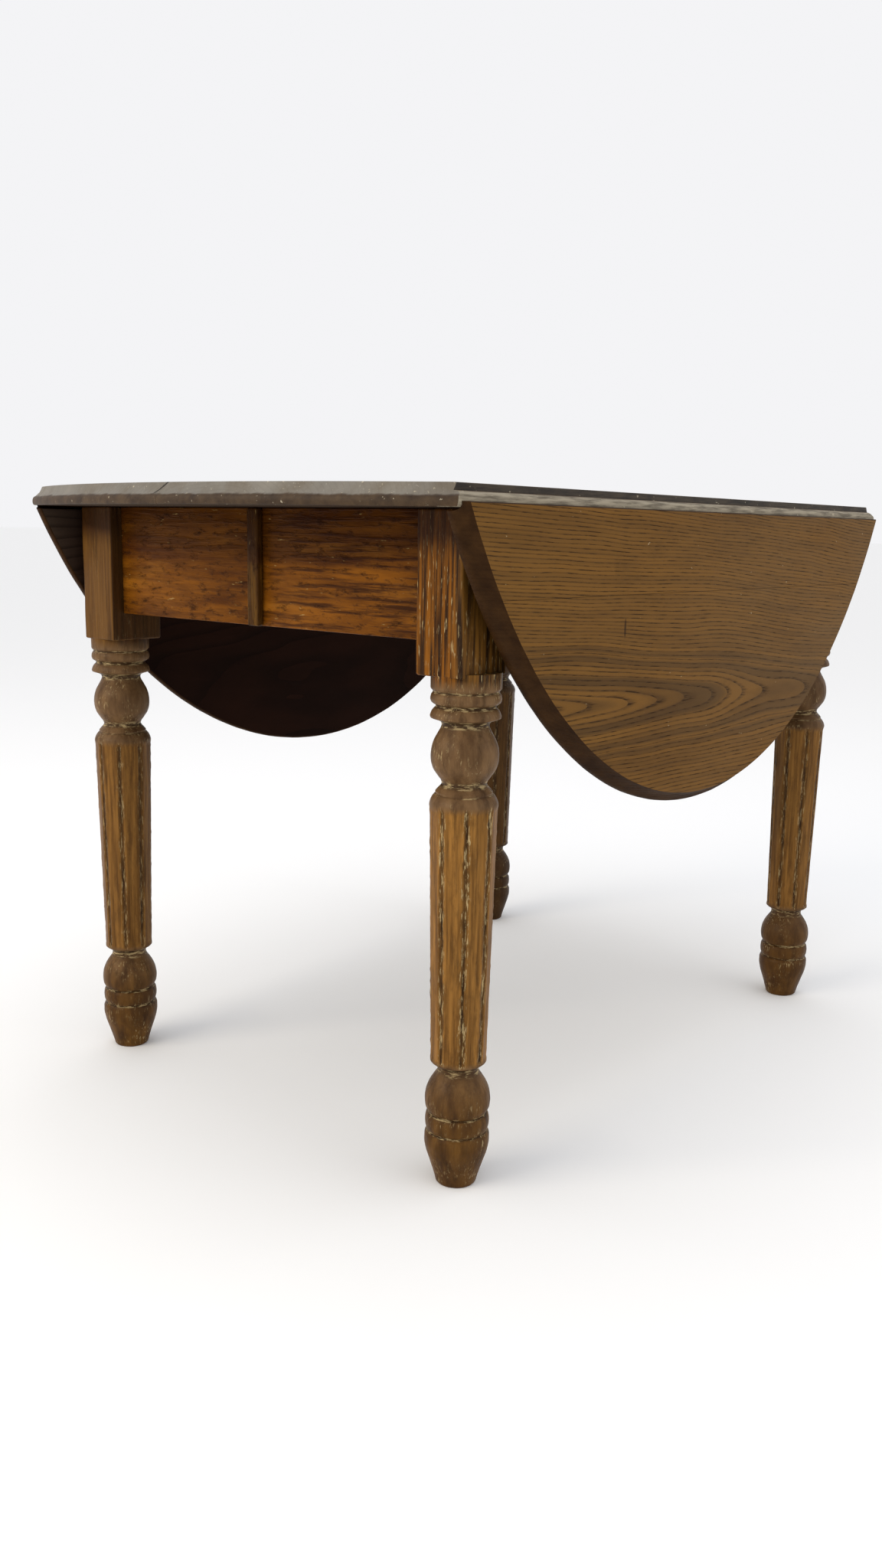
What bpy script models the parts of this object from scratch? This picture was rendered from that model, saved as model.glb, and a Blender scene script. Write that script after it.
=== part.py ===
"""Drop leaf table with two half-oval leaves on rule joints, hanging at rest.

X runs along the leaf hinges, Y across the leaves, Z up from the floor. The end
frame at -X carries the panelled apron with its centre batten. Metres throughout.
"""

import math

import bmesh
import bpy
from mathutils import Matrix, Vector

# Driving dimensions
TABLE_HEIGHT = 0.750
TOP_THICK = 0.023
OVAL_HALF_LENGTH = 0.568
OVAL_HALF_WIDTH = 0.690
OVAL_STEPS = 72
FIT_GAP = 0.0003

# Worn moulded edge of the oval: inset from the widest line, height above the underside
EDGE_PROFILE = (
    (0.0020, 0.0000),
    (0.0000, 0.0025),
    (0.0000, 0.0090),
    (0.0025, 0.0130),
    (0.0070, 0.0180),
    (0.0130, 0.0230),
)

# Rule joint: a fillet, then a quarter round about the hinge pin
PIN_Y = 0.337
PIN_ABOVE_UNDERSIDE = 0.006
RULE_RADIUS = 0.0095
RULE_CLEARANCE = 0.0005
LEAF_SPLIT = 0.094

# Table hinges
HINGE_X = (-0.300, 0.0, 0.300)
HINGE_LENGTH = 0.036
BARREL_RADIUS = 0.0030
HINGE_PIN_RADIUS = 0.0013
PLATE_THICK = 0.0016
PLATE_TOP = -0.0012
FIXED_PLATE_REACH = 0.030
LEAF_PLATE_REACH = 0.045
KNUCKLE_HALF = 0.0062

# Frame
LEG_X = 0.4043
LEG_Y = 0.2915
BLOCK_HALF = 0.0375
BLOCK_OUTER = 0.0225
BLOCK_BOTTOM = 0.560
END_APRON_FACE = 0.4253
SIDE_APRON_FACE = 0.302
APRON_THICK = 0.022
APRON_BOTTOM = 0.594
TENON_THICK = 0.010
TENON_LENGTH = 0.022
TENON_HEIGHT = 0.095
BATTEN_WIDTH = 0.018
BATTEN_PROUD = 0.009
GLUE_BLOCK = 0.024
GLUE_BLOCK_LENGTH = 0.070

# Leaf supports that slide out under the open leaves
SLIDE_X = (-0.200, 0.200)
SLIDE_WIDTH = 0.024
SLIDE_HEIGHT = 0.028
SLIDE_LENGTH = 0.230
SLIDE_TRAVEL = 0.125
SLIDE_REACH = 0.080
SLIDE_TOP_BELOW_PIN = 0.030
GUIDE_WIDTH = 0.050
GUIDE_LENGTH = 0.150
GUIDE_FLOOR = 0.010
BEARER_WIDTH = 0.040

# Turned leg: height and radius of each ring, from the foot to under the block
FOOT_RINGS = (
    (0.0000, 0.0222),
    (0.0050, 0.0238),
    (0.0250, 0.0295),
    (0.0400, 0.0344),
    (0.0516, 0.0359),
    (0.0590, 0.0350),
    (0.0622, 0.0330),
    (0.0660, 0.0342),
    (0.0734, 0.0351),
    (0.0800, 0.0340),
    (0.0827, 0.0322),
    (0.0870, 0.0346),
    (0.0972, 0.0358),
    (0.1080, 0.0345),
    (0.1190, 0.0298),
    (0.1270, 0.0240),
    (0.1310, 0.0223),
    (0.1350, 0.0240),
)
SHAFT_RINGS = (
    (0.1410, 0.0300),
    (0.1500, 0.0318),
    (0.4170, 0.0371),
)
UPPER_RINGS = (
    (0.4250, 0.0368),
    (0.4330, 0.0342),
    (0.4400, 0.0290),
    (0.4473, 0.0237),
    (0.4540, 0.0268),
    (0.4620, 0.0325),
    (0.4769, 0.0357),
    (0.4900, 0.0342),
    (0.5010, 0.0288),
    (0.5091, 0.0247),
    (0.5140, 0.0285),
    (0.5165, 0.0368),
    (0.5190, 0.0370),
    (0.5250, 0.0345),
    (0.5287, 0.0314),
    (0.5325, 0.0358),
    (0.5365, 0.0370),
    (0.5410, 0.0364),
    (0.5440, 0.0350),
    (0.5465, 0.0368),
    (0.5620, 0.0372),
)
LEG_STEPS = 24
FLUTES = 8

UNDERSIDE = TABLE_HEIGHT - TOP_THICK
PIN_Z = UNDERSIDE + PIN_ABOVE_UNDERSIDE
ABOVE_PIN = TOP_THICK - PIN_ABOVE_UNDERSIDE
SLIDE_TOP = PIN_Z - SLIDE_TOP_BELOW_PIN


def start():
    for obj in list(bpy.data.objects):
        bpy.data.objects.remove(obj)
    scene = bpy.context.scene
    scene.unit_settings.system = "METRIC"
    scene.unit_settings.scale_length = 1.0


def finish_material(name, colour, roughness, metallic=0.0):
    material = bpy.data.materials.new(name)
    material.use_nodes = True
    shader = material.node_tree.nodes["Principled BSDF"]
    shader.inputs["Base Color"].default_value = (*colour, 1.0)
    shader.inputs["Roughness"].default_value = roughness
    shader.inputs["Metallic"].default_value = metallic
    material.diffuse_color = (*colour, 1.0)
    return material


def object_from(bm, name, material=None):
    bmesh.ops.recalc_face_normals(bm, faces=bm.faces)
    mesh = bpy.data.meshes.new(name)
    bm.to_mesh(mesh)
    bm.free()
    obj = bpy.data.objects.new(name, mesh)
    bpy.context.scene.collection.objects.link(obj)
    if material:
        mesh.materials.append(material)
    return obj


def box(name, low, high, material=None):
    bm = bmesh.new()
    bmesh.ops.create_cube(bm, size=1.0)
    low, high = Vector(low), Vector(high)
    bmesh.ops.scale(bm, vec=high - low, verts=bm.verts)
    bmesh.ops.translate(bm, vec=(low + high) / 2, verts=bm.verts)
    return object_from(bm, name, material)


def prism_x(name, outline, x_low, x_high, material=None):
    """Extrudes a (y, z) outline along X."""
    bm = bmesh.new()
    low = [bm.verts.new((x_low, y, z)) for y, z in outline]
    high = [bm.verts.new((x_high, y, z)) for y, z in outline]
    count = len(outline)
    bm.faces.new(low)
    bm.faces.new(high)
    for i in range(count):
        j = (i + 1) % count
        bm.faces.new((low[i], low[j], high[j], high[i]))
    return object_from(bm, name, material)


def cylinder_x(name, radius, x_low, x_high, steps, material=None):
    turn = 2 * math.pi / steps
    outline = [(radius * math.cos(i * turn), radius * math.sin(i * turn)) for i in range(steps)]
    return prism_x(name, outline, x_low, x_high, material)


def rings_solid(name, rings, material=None):
    """Skins a stack of equal rings of points and caps both ends."""
    bm = bmesh.new()
    made = [[bm.verts.new(point) for point in ring] for ring in rings]
    count = len(rings[0])
    for lower, upper in zip(made, made[1:]):
        for i in range(count):
            j = (i + 1) % count
            bm.faces.new((lower[i], lower[j], upper[j], upper[i]))
    bm.faces.new(made[0])
    bm.faces.new(made[-1])
    return object_from(bm, name, material)


def shaped(obj, *steps):
    """Applies Boolean steps, given as (operation, other), and drops the helpers."""
    for operation, other in steps:
        modifier = obj.modifiers.new(operation.lower(), "BOOLEAN")
        modifier.operation = operation
        modifier.solver = "EXACT"
        modifier.object = other
        other.hide_render = True
        other.display_type = "WIRE"
    bpy.context.view_layer.update()
    graph = bpy.context.evaluated_depsgraph_get()
    mesh = bpy.data.meshes.new_from_object(obj.evaluated_get(graph))
    obj.modifiers.clear()
    bm = bmesh.new()
    bm.from_mesh(mesh)
    bmesh.ops.remove_doubles(bm, verts=bm.verts, dist=1e-6)
    bmesh.ops.dissolve_limit(bm, angle_limit=0.002, verts=bm.verts, edges=bm.edges)
    bm.to_mesh(mesh)
    bm.free()
    materials = list(obj.data.materials)
    obj.data = mesh
    mesh.name = obj.name
    if not mesh.materials:
        for material in materials:
            mesh.materials.append(material)
    for _, other in steps:
        bpy.data.objects.remove(other)
    return obj


def empty(name, location, rotation=(0.0, 0.0, 0.0), parent=None):
    obj = bpy.data.objects.new(name, None)
    obj.location = location
    obj.rotation_euler = rotation
    obj.parent = parent
    bpy.context.scene.collection.objects.link(obj)
    return obj


def attach(obj, parent, location=(0.0, 0.0, 0.0)):
    obj.parent = parent
    obj.location = location
    return obj


def oval_slab(name, bottom, material=None):
    """The whole oval with its worn edge; bottom is the height of its underside."""
    rings = []
    for inset, height in EDGE_PROFILE:
        ring = []
        for i in range(OVAL_STEPS):
            turn = 2 * math.pi * (i + 0.5) / OVAL_STEPS
            x = (OVAL_HALF_LENGTH - inset) * math.cos(turn)
            y = (OVAL_HALF_WIDTH - inset) * math.sin(turn)
            ring.append((x, y, bottom + height))
        rings.append(ring)
    return rings_solid(name, rings, material)


def arc(radius, start_angle, end_angle, steps):
    """(y, z) points about the hinge pin, angles in degrees from +Y towards +Z."""
    points = []
    for i in range(steps + 1):
        angle = math.radians(start_angle + (end_angle - start_angle) * i / steps)
        points.append((radius * math.cos(angle), radius * math.sin(angle)))
    return points


def rule_edge_of_top():
    """Quarter round of the fixed top about the pin, run on to the underside."""
    last = 180 + math.degrees(math.asin(PIN_ABOVE_UNDERSIDE / RULE_RADIUS))
    return arc(RULE_RADIUS, 90, last, 9)


def cove_of_leaf():
    radius = RULE_RADIUS + RULE_CLEARANCE
    first = 90 + math.degrees(math.asin(RULE_CLEARANCE / radius))
    return arc(radius, first, 180, 6)


def top_board(name, side, material):
    """Half of the fixed top, from the centre joint to the rule joint at -Y of its side."""
    outline = [(-FIT_GAP / 2, UNDERSIDE - 0.01), (-FIT_GAP / 2, TABLE_HEIGHT + 0.01)]
    outline += [(-PIN_Y, TABLE_HEIGHT + 0.01)]
    edge = [(y - PIN_Y, z + PIN_Z) for y, z in rule_edge_of_top()]
    outline += edge + [(edge[-1][0], UNDERSIDE - 0.01)]
    keep = prism_x("keep", outline, -0.7, 0.7)
    board = oval_slab(name, UNDERSIDE, material)
    steps = [("INTERSECT", keep)]
    half = HINGE_LENGTH / 2 + FIT_GAP
    for i, x in enumerate(HINGE_X):
        seat = box(
            f"seat_{i}",
            (x - half, -PIN_Y - 0.0005, UNDERSIDE - 0.01),
            (x + half, -PIN_Y + FIXED_PLATE_REACH + FIT_GAP, PIN_Z + PLATE_TOP + FIT_GAP),
        )
        notch = box(
            f"notch_{i}",
            (x - half, -PIN_Y - 0.012, UNDERSIDE - 0.012),
            (x + half, -PIN_Y + 0.0040, PIN_Z + PLATE_TOP + FIT_GAP),
        )
        barrel = cylinder_x(f"barrel_{i}", BARREL_RADIUS + FIT_GAP, x - half, x + half, 16)
        barrel.location = (0.0, -PIN_Y, PIN_Z)
        steps += [("DIFFERENCE", seat), ("DIFFERENCE", notch), ("DIFFERENCE", barrel)]
    shaped(board, *steps)
    return attach(board, side)


def leaf_board(name, axis, outer, material):
    """One board of a leaf, drawn open about its hinge pin and hung by its parent."""
    low, high = -PIN_ABOVE_UNDERSIDE - 0.01, ABOVE_PIN + 0.01
    if outer:
        start_y = -LEAF_SPLIT - FIT_GAP / 2
        outline = [(start_y, low), (start_y, high), (-0.6, high), (-0.6, low)]
    else:
        cove = cove_of_leaf()
        end_y = -LEAF_SPLIT + FIT_GAP / 2
        outline = [(-RULE_CLEARANCE, high)] + cove
        outline += [(cove[-1][0], low), (end_y, low), (end_y, high)]
    keep = prism_x("keep", outline, -0.7, 0.7)
    board = oval_slab(name, -PIN_ABOVE_UNDERSIDE, material)
    board.data.transform(Matrix.Translation((0.0, PIN_Y, 0.0)))
    steps = [("INTERSECT", keep)]
    half = HINGE_LENGTH / 2 + FIT_GAP
    for i, x in enumerate(() if outer else HINGE_X):
        seat = box(
            f"seat_{i}",
            (x - half, -LEAF_PLATE_REACH - FIT_GAP, -PIN_ABOVE_UNDERSIDE - 0.01),
            (x + half, 0.0, PLATE_TOP + FIT_GAP),
        )
        steps.append(("DIFFERENCE", seat))
    shaped(board, *steps)
    return attach(board, axis)


def knuckled_plate(name, x_centre, reach, knuckles, material):
    """A hinge flap about the pin line; reach is positive inwards, negative outwards."""
    inner = math.copysign(0.0036, reach)
    half = HINGE_LENGTH / 2
    low_y, high_y = sorted((inner, reach))
    plate = box(name, (-half, low_y, PLATE_TOP - PLATE_THICK), (half, high_y, PLATE_TOP), material)
    steps = []
    for i, (x_low, x_high) in enumerate(knuckles):
        low_y, high_y = sorted((0.0, inner * 1.05))
        tongue = box(f"tongue_{i}", (x_low, low_y, PLATE_TOP - PLATE_THICK), (x_high, high_y, PLATE_TOP))
        barrel = cylinder_x(f"knuckle_{i}", BARREL_RADIUS, x_low, x_high, 16)
        steps += [("UNION", tongue), ("UNION", barrel)]
    bore = cylinder_x("bore", HINGE_PIN_RADIUS + FIT_GAP, -half - 0.01, half + 0.01, 12)
    steps.append(("DIFFERENCE", bore))
    shaped(plate, *steps)
    plate.location.x = x_centre
    return plate


def hinge(label, side, axis, x, brass, steel):
    half = HINGE_LENGTH / 2
    outer = KNUCKLE_HALF
    fixed = knuckled_plate(
        f"hinge_{label}_fixed_flap", x, FIXED_PLATE_REACH, ((-half, -outer), (outer, half)), brass
    )
    attach(fixed, side, (x, -PIN_Y, PIN_Z))
    moving = knuckled_plate(
        f"hinge_{label}_leaf_flap", x, -LEAF_PLATE_REACH, ((-outer + FIT_GAP, outer - FIT_GAP),), brass
    )
    attach(moving, axis, (x, 0.0, 0.0))
    pin = cylinder_x(f"hinge_{label}_pin", HINGE_PIN_RADIUS, -half, half, 12, steel)
    attach(pin, side, (x, -PIN_Y, PIN_Z))


def slide_and_guide(label, side, axis, x, wood, pine):
    rest_tip = -PIN_Y + (SLIDE_TRAVEL - SLIDE_REACH)
    slide = prism_x(
        f"slide_{label}",
        [
            (0.0, -SLIDE_HEIGHT),
            (0.0, -0.003),
            (0.003, 0.0),
            (SLIDE_LENGTH, 0.0),
            (SLIDE_LENGTH, -SLIDE_HEIGHT),
        ],
        -SLIDE_WIDTH / 2,
        SLIDE_WIDTH / 2,
        wood,
    )
    attach(slide, side, (x, rest_tip, SLIDE_TOP))

    near = -SIDE_APRON_FACE + APRON_THICK + FIT_GAP
    guide = box(
        f"slide_guide_{label}",
        (x - GUIDE_WIDTH / 2, near, SLIDE_TOP - SLIDE_HEIGHT - FIT_GAP - GUIDE_FLOOR),
        (x + GUIDE_WIDTH / 2, near + GUIDE_LENGTH, UNDERSIDE - FIT_GAP),
        pine,
    )
    bore = box(
        "bore",
        (x - SLIDE_WIDTH / 2 - FIT_GAP, near - 0.01, SLIDE_TOP - SLIDE_HEIGHT - FIT_GAP),
        (x + SLIDE_WIDTH / 2 + FIT_GAP, near + GUIDE_LENGTH + 0.01, SLIDE_TOP + FIT_GAP),
    )
    attach(shaped(guide, ("DIFFERENCE", bore)), side)

    under = -PIN_ABOVE_UNDERSIDE - FIT_GAP
    full = SLIDE_TOP_BELOW_PIN - PIN_ABOVE_UNDERSIDE - 0.0004
    bearer = prism_x(
        f"bearer_{label}",
        [
            (-0.059, under),
            (-0.068, under - 0.0080),
            (-0.0745, under - 0.0150),
            (-0.0806, under - full + FIT_GAP),
            (-0.1120, under - full + FIT_GAP),
            (-0.1180, under),
        ],
        -BEARER_WIDTH / 2,
        BEARER_WIDTH / 2,
        wood,
    )
    attach(bearer, axis, (x, 0.0, 0.0))


def side_apron(name, side, wood):
    span = LEG_X - BLOCK_HALF - FIT_GAP
    top = UNDERSIDE - FIT_GAP
    outer, inner = -SIDE_APRON_FACE, -SIDE_APRON_FACE + APRON_THICK
    apron = box(name, (-span, outer, APRON_BOTTOM), (span, inner, top), wood)
    middle = (outer + inner) / 2
    low, high = tenon_heights()
    tenon = box(
        "tenon",
        (-span - TENON_LENGTH, middle - TENON_THICK / 2, low),
        (span + TENON_LENGTH, middle + TENON_THICK / 2, high),
    )
    steps = [("UNION", tenon)]
    for i, x in enumerate(SLIDE_X):
        slot = box(
            f"slot_{i}",
            (x - SLIDE_WIDTH / 2 - 0.0006, outer - 0.01, SLIDE_TOP - SLIDE_HEIGHT - 0.0006),
            (x + SLIDE_WIDTH / 2 + 0.0006, inner + 0.01, SLIDE_TOP + 0.0006),
        )
        steps.append(("DIFFERENCE", slot))
    return attach(shaped(apron, *steps), side)


def tenon_heights():
    middle = (APRON_BOTTOM + UNDERSIDE) / 2
    return middle - TENON_HEIGHT / 2, middle + TENON_HEIGHT / 2


def end_apron_board(name, corner, wood):
    """One board of an end apron, from the corner's block to the centre joint."""
    sx, sy = corner
    top = UNDERSIDE - FIT_GAP
    block_face = LEG_Y - BLOCK_HALF - FIT_GAP
    outer, inner = END_APRON_FACE, END_APRON_FACE - APRON_THICK
    middle = (outer + inner) / 2
    board = box(
        name,
        (min(sx * outer, sx * inner), min(sy * FIT_GAP / 2, sy * block_face), APRON_BOTTOM),
        (max(sx * outer, sx * inner), max(sy * FIT_GAP / 2, sy * block_face), top),
        wood,
    )
    low, high = tenon_heights()
    y_low, y_high = sorted((sy * (block_face - 0.005), sy * (block_face + TENON_LENGTH)))
    tenon = box(
        "tenon",
        (sx * middle - TENON_THICK / 2, y_low, low),
        (sx * middle + TENON_THICK / 2, y_high, high),
    )
    return shaped(board, ("UNION", tenon))


def leg(name, corner, wood):
    """Turned leg in one piece with its square block; the block is planed back at the leaf."""
    sx, sy = corner
    rings = []
    turn = 2 * math.pi / LEG_STEPS
    for height, radius in FOOT_RINGS:
        rings.append(leg_ring(height, radius, turn, False))
    for height, radius in SHAFT_RINGS:
        rings.append(leg_ring(height, radius, turn, True))
    for height, radius in UPPER_RINGS:
        rings.append(leg_ring(height, radius, turn, False))
    post = rings_solid(name, rings, wood)
    y_low, y_high = sorted((-sy * BLOCK_HALF, sy * BLOCK_OUTER))
    block = box(
        "block",
        (-BLOCK_HALF, y_low, BLOCK_BOTTOM),
        (BLOCK_HALF, y_high, UNDERSIDE - FIT_GAP),
    )
    low, high = tenon_heights()
    low, high = low - FIT_GAP, high + FIT_GAP
    half = TENON_THICK / 2 + FIT_GAP
    deep = TENON_LENGTH + 2 * FIT_GAP
    side_middle = sy * (SIDE_APRON_FACE - APRON_THICK / 2 - LEG_Y)
    x_low, x_high = sorted((-sx * (BLOCK_HALF + 0.01), -sx * (BLOCK_HALF - deep)))
    side_mortise = box("side_mortise", (x_low, side_middle - half, low), (x_high, side_middle + half, high))
    end_middle = sx * (END_APRON_FACE - APRON_THICK / 2 - LEG_X)
    y_low, y_high = sorted((-sy * (BLOCK_HALF + 0.01), -sy * (BLOCK_HALF - deep)))
    end_mortise = box("end_mortise", (end_middle - half, y_low, low), (end_middle + half, y_high, high))
    shaped(post, ("UNION", block), ("DIFFERENCE", side_mortise), ("DIFFERENCE", end_mortise))
    post.location = (sx * LEG_X, sy * LEG_Y, 0.0)
    return post


def leg_ring(height, radius, turn, faceted):
    """One ring of the leg; a faceted ring is an octagon with its corners on the flutes."""
    ring = []
    per_flute = LEG_STEPS // FLUTES
    half_flat = math.pi / FLUTES
    for i in range(LEG_STEPS):
        reach = radius
        if faceted:
            from_middle = (i % per_flute) * turn - half_flat
            reach = radius * math.cos(half_flat) / math.cos(from_middle)
        ring.append((reach * math.cos(i * turn), reach * math.sin(i * turn), height))
    return ring


def batten(name, sx, wood):
    face = END_APRON_FACE + FIT_GAP
    x_low, x_high = sorted((sx * face, sx * (face + BATTEN_PROUD)))
    half = BATTEN_WIDTH / 2
    return box(name, (x_low, -half, APRON_BOTTOM), (x_high, half, UNDERSIDE - FIT_GAP), wood)


def glue_block(name, centre, along_x, wood):
    half_length = GLUE_BLOCK_LENGTH / 2
    half = GLUE_BLOCK / 2
    reach = Vector((half_length, half, 0.0)) if along_x else Vector((half, half_length, 0.0))
    centre = Vector((centre[0], centre[1], UNDERSIDE - FIT_GAP))
    return box(name, centre - reach - Vector((0, 0, GLUE_BLOCK)), centre + reach, wood)


def build():
    start()
    oak_top = finish_material("worn_top_wood", (0.105, 0.085, 0.062), 0.62)
    leaf_wood = finish_material("leaf_wood", (0.130, 0.076, 0.032), 0.55)
    leg_wood = finish_material("turned_leg_wood", (0.110, 0.068, 0.032), 0.50)
    apron_wood = finish_material("varnished_apron_wood", (0.150, 0.066, 0.016), 0.38)
    pine = finish_material("unfinished_inside_wood", (0.190, 0.115, 0.052), 0.75)
    brass = finish_material("hinge_iron", (0.070, 0.058, 0.048), 0.55, 0.85)
    steel = finish_material("hinge_pin_iron", (0.110, 0.105, 0.100), 0.40, 1.0)

    corners = {"a_front": (-1, -1), "a_back": (-1, 1), "b_front": (1, -1), "b_back": (1, 1)}
    for label, corner in corners.items():
        leg(f"leg_{label}", corner, leg_wood)
        end_apron_board(f"end_apron_{label}", corner, apron_wood)
        inset = END_APRON_FACE - APRON_THICK - FIT_GAP - GLUE_BLOCK / 2
        centre = (corner[0] * inset, corner[1] * 0.125)
        glue_block(f"glue_block_{label}", centre, False, pine)
    batten("batten_a", -1, apron_wood)
    batten("batten_b", 1, apron_wood)

    for label, turn in (("front", 0.0), ("back", math.pi)):
        side = empty(f"side_{label}", (0.0, 0.0, 0.0), (0.0, 0.0, turn))
        axis = empty(f"leaf_axis_{label}", (0.0, -PIN_Y, PIN_Z), (math.pi / 2, 0.0, 0.0), side)
        top_board(f"top_board_{label}", side, oak_top)
        side_apron(f"side_apron_{label}", side, apron_wood)
        inset = -SIDE_APRON_FACE + APRON_THICK + FIT_GAP + GLUE_BLOCK / 2
        block = glue_block(f"glue_block_{label}", (0.0, inset), True, pine)
        attach(block, side)
        leaf_board(f"leaf_{label}_inner_board", axis, False, leaf_wood)
        leaf_board(f"leaf_{label}_outer_board", axis, True, leaf_wood)
        for i, x in enumerate(HINGE_X, start=1):
            hinge(f"{label}_{i}", side, axis, x, brass, steel)
        for i, x in enumerate(SLIDE_X, start=1):
            slide_and_guide(f"{label}_{i}", side, axis, x, leg_wood, pine)


build()
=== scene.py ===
"""Looks of an old country drop leaf table, part stripped, with fluted turned legs.

X runs along the leaf hinges, Y across the leaves, Z up, in metres. The oval top and the
leaves are ash, the legs and aprons keep some amber varnish and flecks of an old cream paint.
"""

import math

import bmesh
import bpy
import numpy as np
from mathutils import Euler, Matrix, Vector, noise


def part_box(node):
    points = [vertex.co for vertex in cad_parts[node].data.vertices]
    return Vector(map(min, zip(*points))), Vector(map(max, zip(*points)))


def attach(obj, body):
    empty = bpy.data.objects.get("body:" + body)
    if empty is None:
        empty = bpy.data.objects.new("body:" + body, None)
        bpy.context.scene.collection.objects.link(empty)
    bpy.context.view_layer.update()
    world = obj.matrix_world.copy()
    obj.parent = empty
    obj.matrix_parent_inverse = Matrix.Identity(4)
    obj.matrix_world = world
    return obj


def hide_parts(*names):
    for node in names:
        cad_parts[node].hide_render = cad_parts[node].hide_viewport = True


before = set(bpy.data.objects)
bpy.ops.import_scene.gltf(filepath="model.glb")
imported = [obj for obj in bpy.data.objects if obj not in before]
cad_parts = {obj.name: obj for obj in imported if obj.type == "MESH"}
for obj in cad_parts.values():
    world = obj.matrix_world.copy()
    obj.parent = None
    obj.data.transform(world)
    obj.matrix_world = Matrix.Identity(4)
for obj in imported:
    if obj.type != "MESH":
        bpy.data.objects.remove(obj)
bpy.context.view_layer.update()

# Heights and lines of the CAD, read from its nodes
TOP_LOW, TOP_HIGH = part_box("top_board_front")
LEAF_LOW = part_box("leaf_front_inner_board")[0]
PIN_LOW, PIN_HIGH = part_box("hinge_front_2_pin")
APRON_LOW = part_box("end_apron_a_front")[0]
UNDERSIDE = TOP_LOW.z
TABLE_HEIGHT = TOP_HIGH.z
PIN_Y = -(PIN_LOW.y + PIN_HIGH.y) / 2
PIN_Z = (PIN_LOW.z + PIN_HIGH.z) / 2
PIN_ABOVE_UNDERSIDE = PIN_Z - UNDERSIDE

# The oval, with its worn moulding: inset from the widest line, height above the underside
OVAL_HALF_LENGTH = 0.5677
OVAL_HALF_WIDTH = 0.690
OVAL_STEPS = 288
EDGE_PROFILE = (
    (0.0024, 0.0000),
    (0.0010, 0.0007),
    (0.0002, 0.0022),
    (0.0000, 0.0045),
    (0.0002, 0.0072),
    (0.0010, 0.0092),
    (0.0022, 0.0104),
    (0.0036, 0.0112),
    (0.0058, 0.0130),
    (0.0078, 0.0154),
    (0.0096, 0.0182),
    (0.0110, 0.0210),
    (0.0116, 0.0225),
    (0.0120, 0.0230),
)
RIM_WAVER = 0.0005
FIT_GAP = 0.0003

# Cutters reach past what they cut, and points nearer than the weld are one
PAST_ENDS = 0.7
PAST_FACE = 0.01
WELD = 1e-6

# Rule joint and hinges, with the plates' upper face measured from the pin
RULE_RADIUS = 0.0095
RULE_CLEARANCE = 0.0005
LEAF_SPLIT = PIN_Z - LEAF_LOW.z
HINGE_X = (-0.300, 0.0, 0.300)
HINGE_LENGTH = 0.036
BARREL_RADIUS = 0.0030
PLATE_TOP = -0.0012
PLATE_THICK = 0.0016
FIXED_PLATE_REACH = 0.030
LEAF_PLATE_REACH = 0.045
# Room for plate and knuckle in the edge of the top, out from the pin and in from it
SEAT_OUT = 0.0005
KNUCKLE_OUT, KNUCKLE_IN = 0.0120, 0.0040

# Screws: along the flap from its middle, and away from the pin
FIXED_SCREWS = ((-0.012, 0.012), (0.012, 0.012), (0.0, 0.023))
LEAF_SCREWS = ((-0.012, 0.014), (0.012, 0.014), (0.0, 0.026), (0.0, 0.038))
SCREW_HEAD = 0.0034
SCREW_SLOT = 0.0008

# How far wear has rounded the arrises of square-edged pieces
BLOCK_WEAR = 0.0021
END_APRON_WEAR = 0.0014
SIDE_APRON_WEAR = 0.0012
BATTEN_WEAR = 0.0024
GLUE_BLOCK_WEAR = 0.0010
GUIDE_WEAR = 0.0008
RUNNER_WEAR = 0.0010

# Legs
LEG_X = 0.4043
LEG_Y = 0.2915
BLOCK_HALF = 0.0375
BLOCK_OUTER = 0.0225
BLOCK_BOTTOM = 0.560
SHAFT_FOOT = 0.1480
SHAFT_HEAD = 0.4180
# Flats and grooves fade out over these lengths, past the foot and the head of the shaft
FADE_BELOW, FADE_ABOVE = 0.007, 0.010
TENON_THICK = 0.010
TENON_LENGTH = 0.022
TENON_HEIGHT = 0.095
APRON_THICK = 0.022
SIDE_APRON_FACE = 0.302
END_APRON_FACE = -APRON_LOW.x

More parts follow.
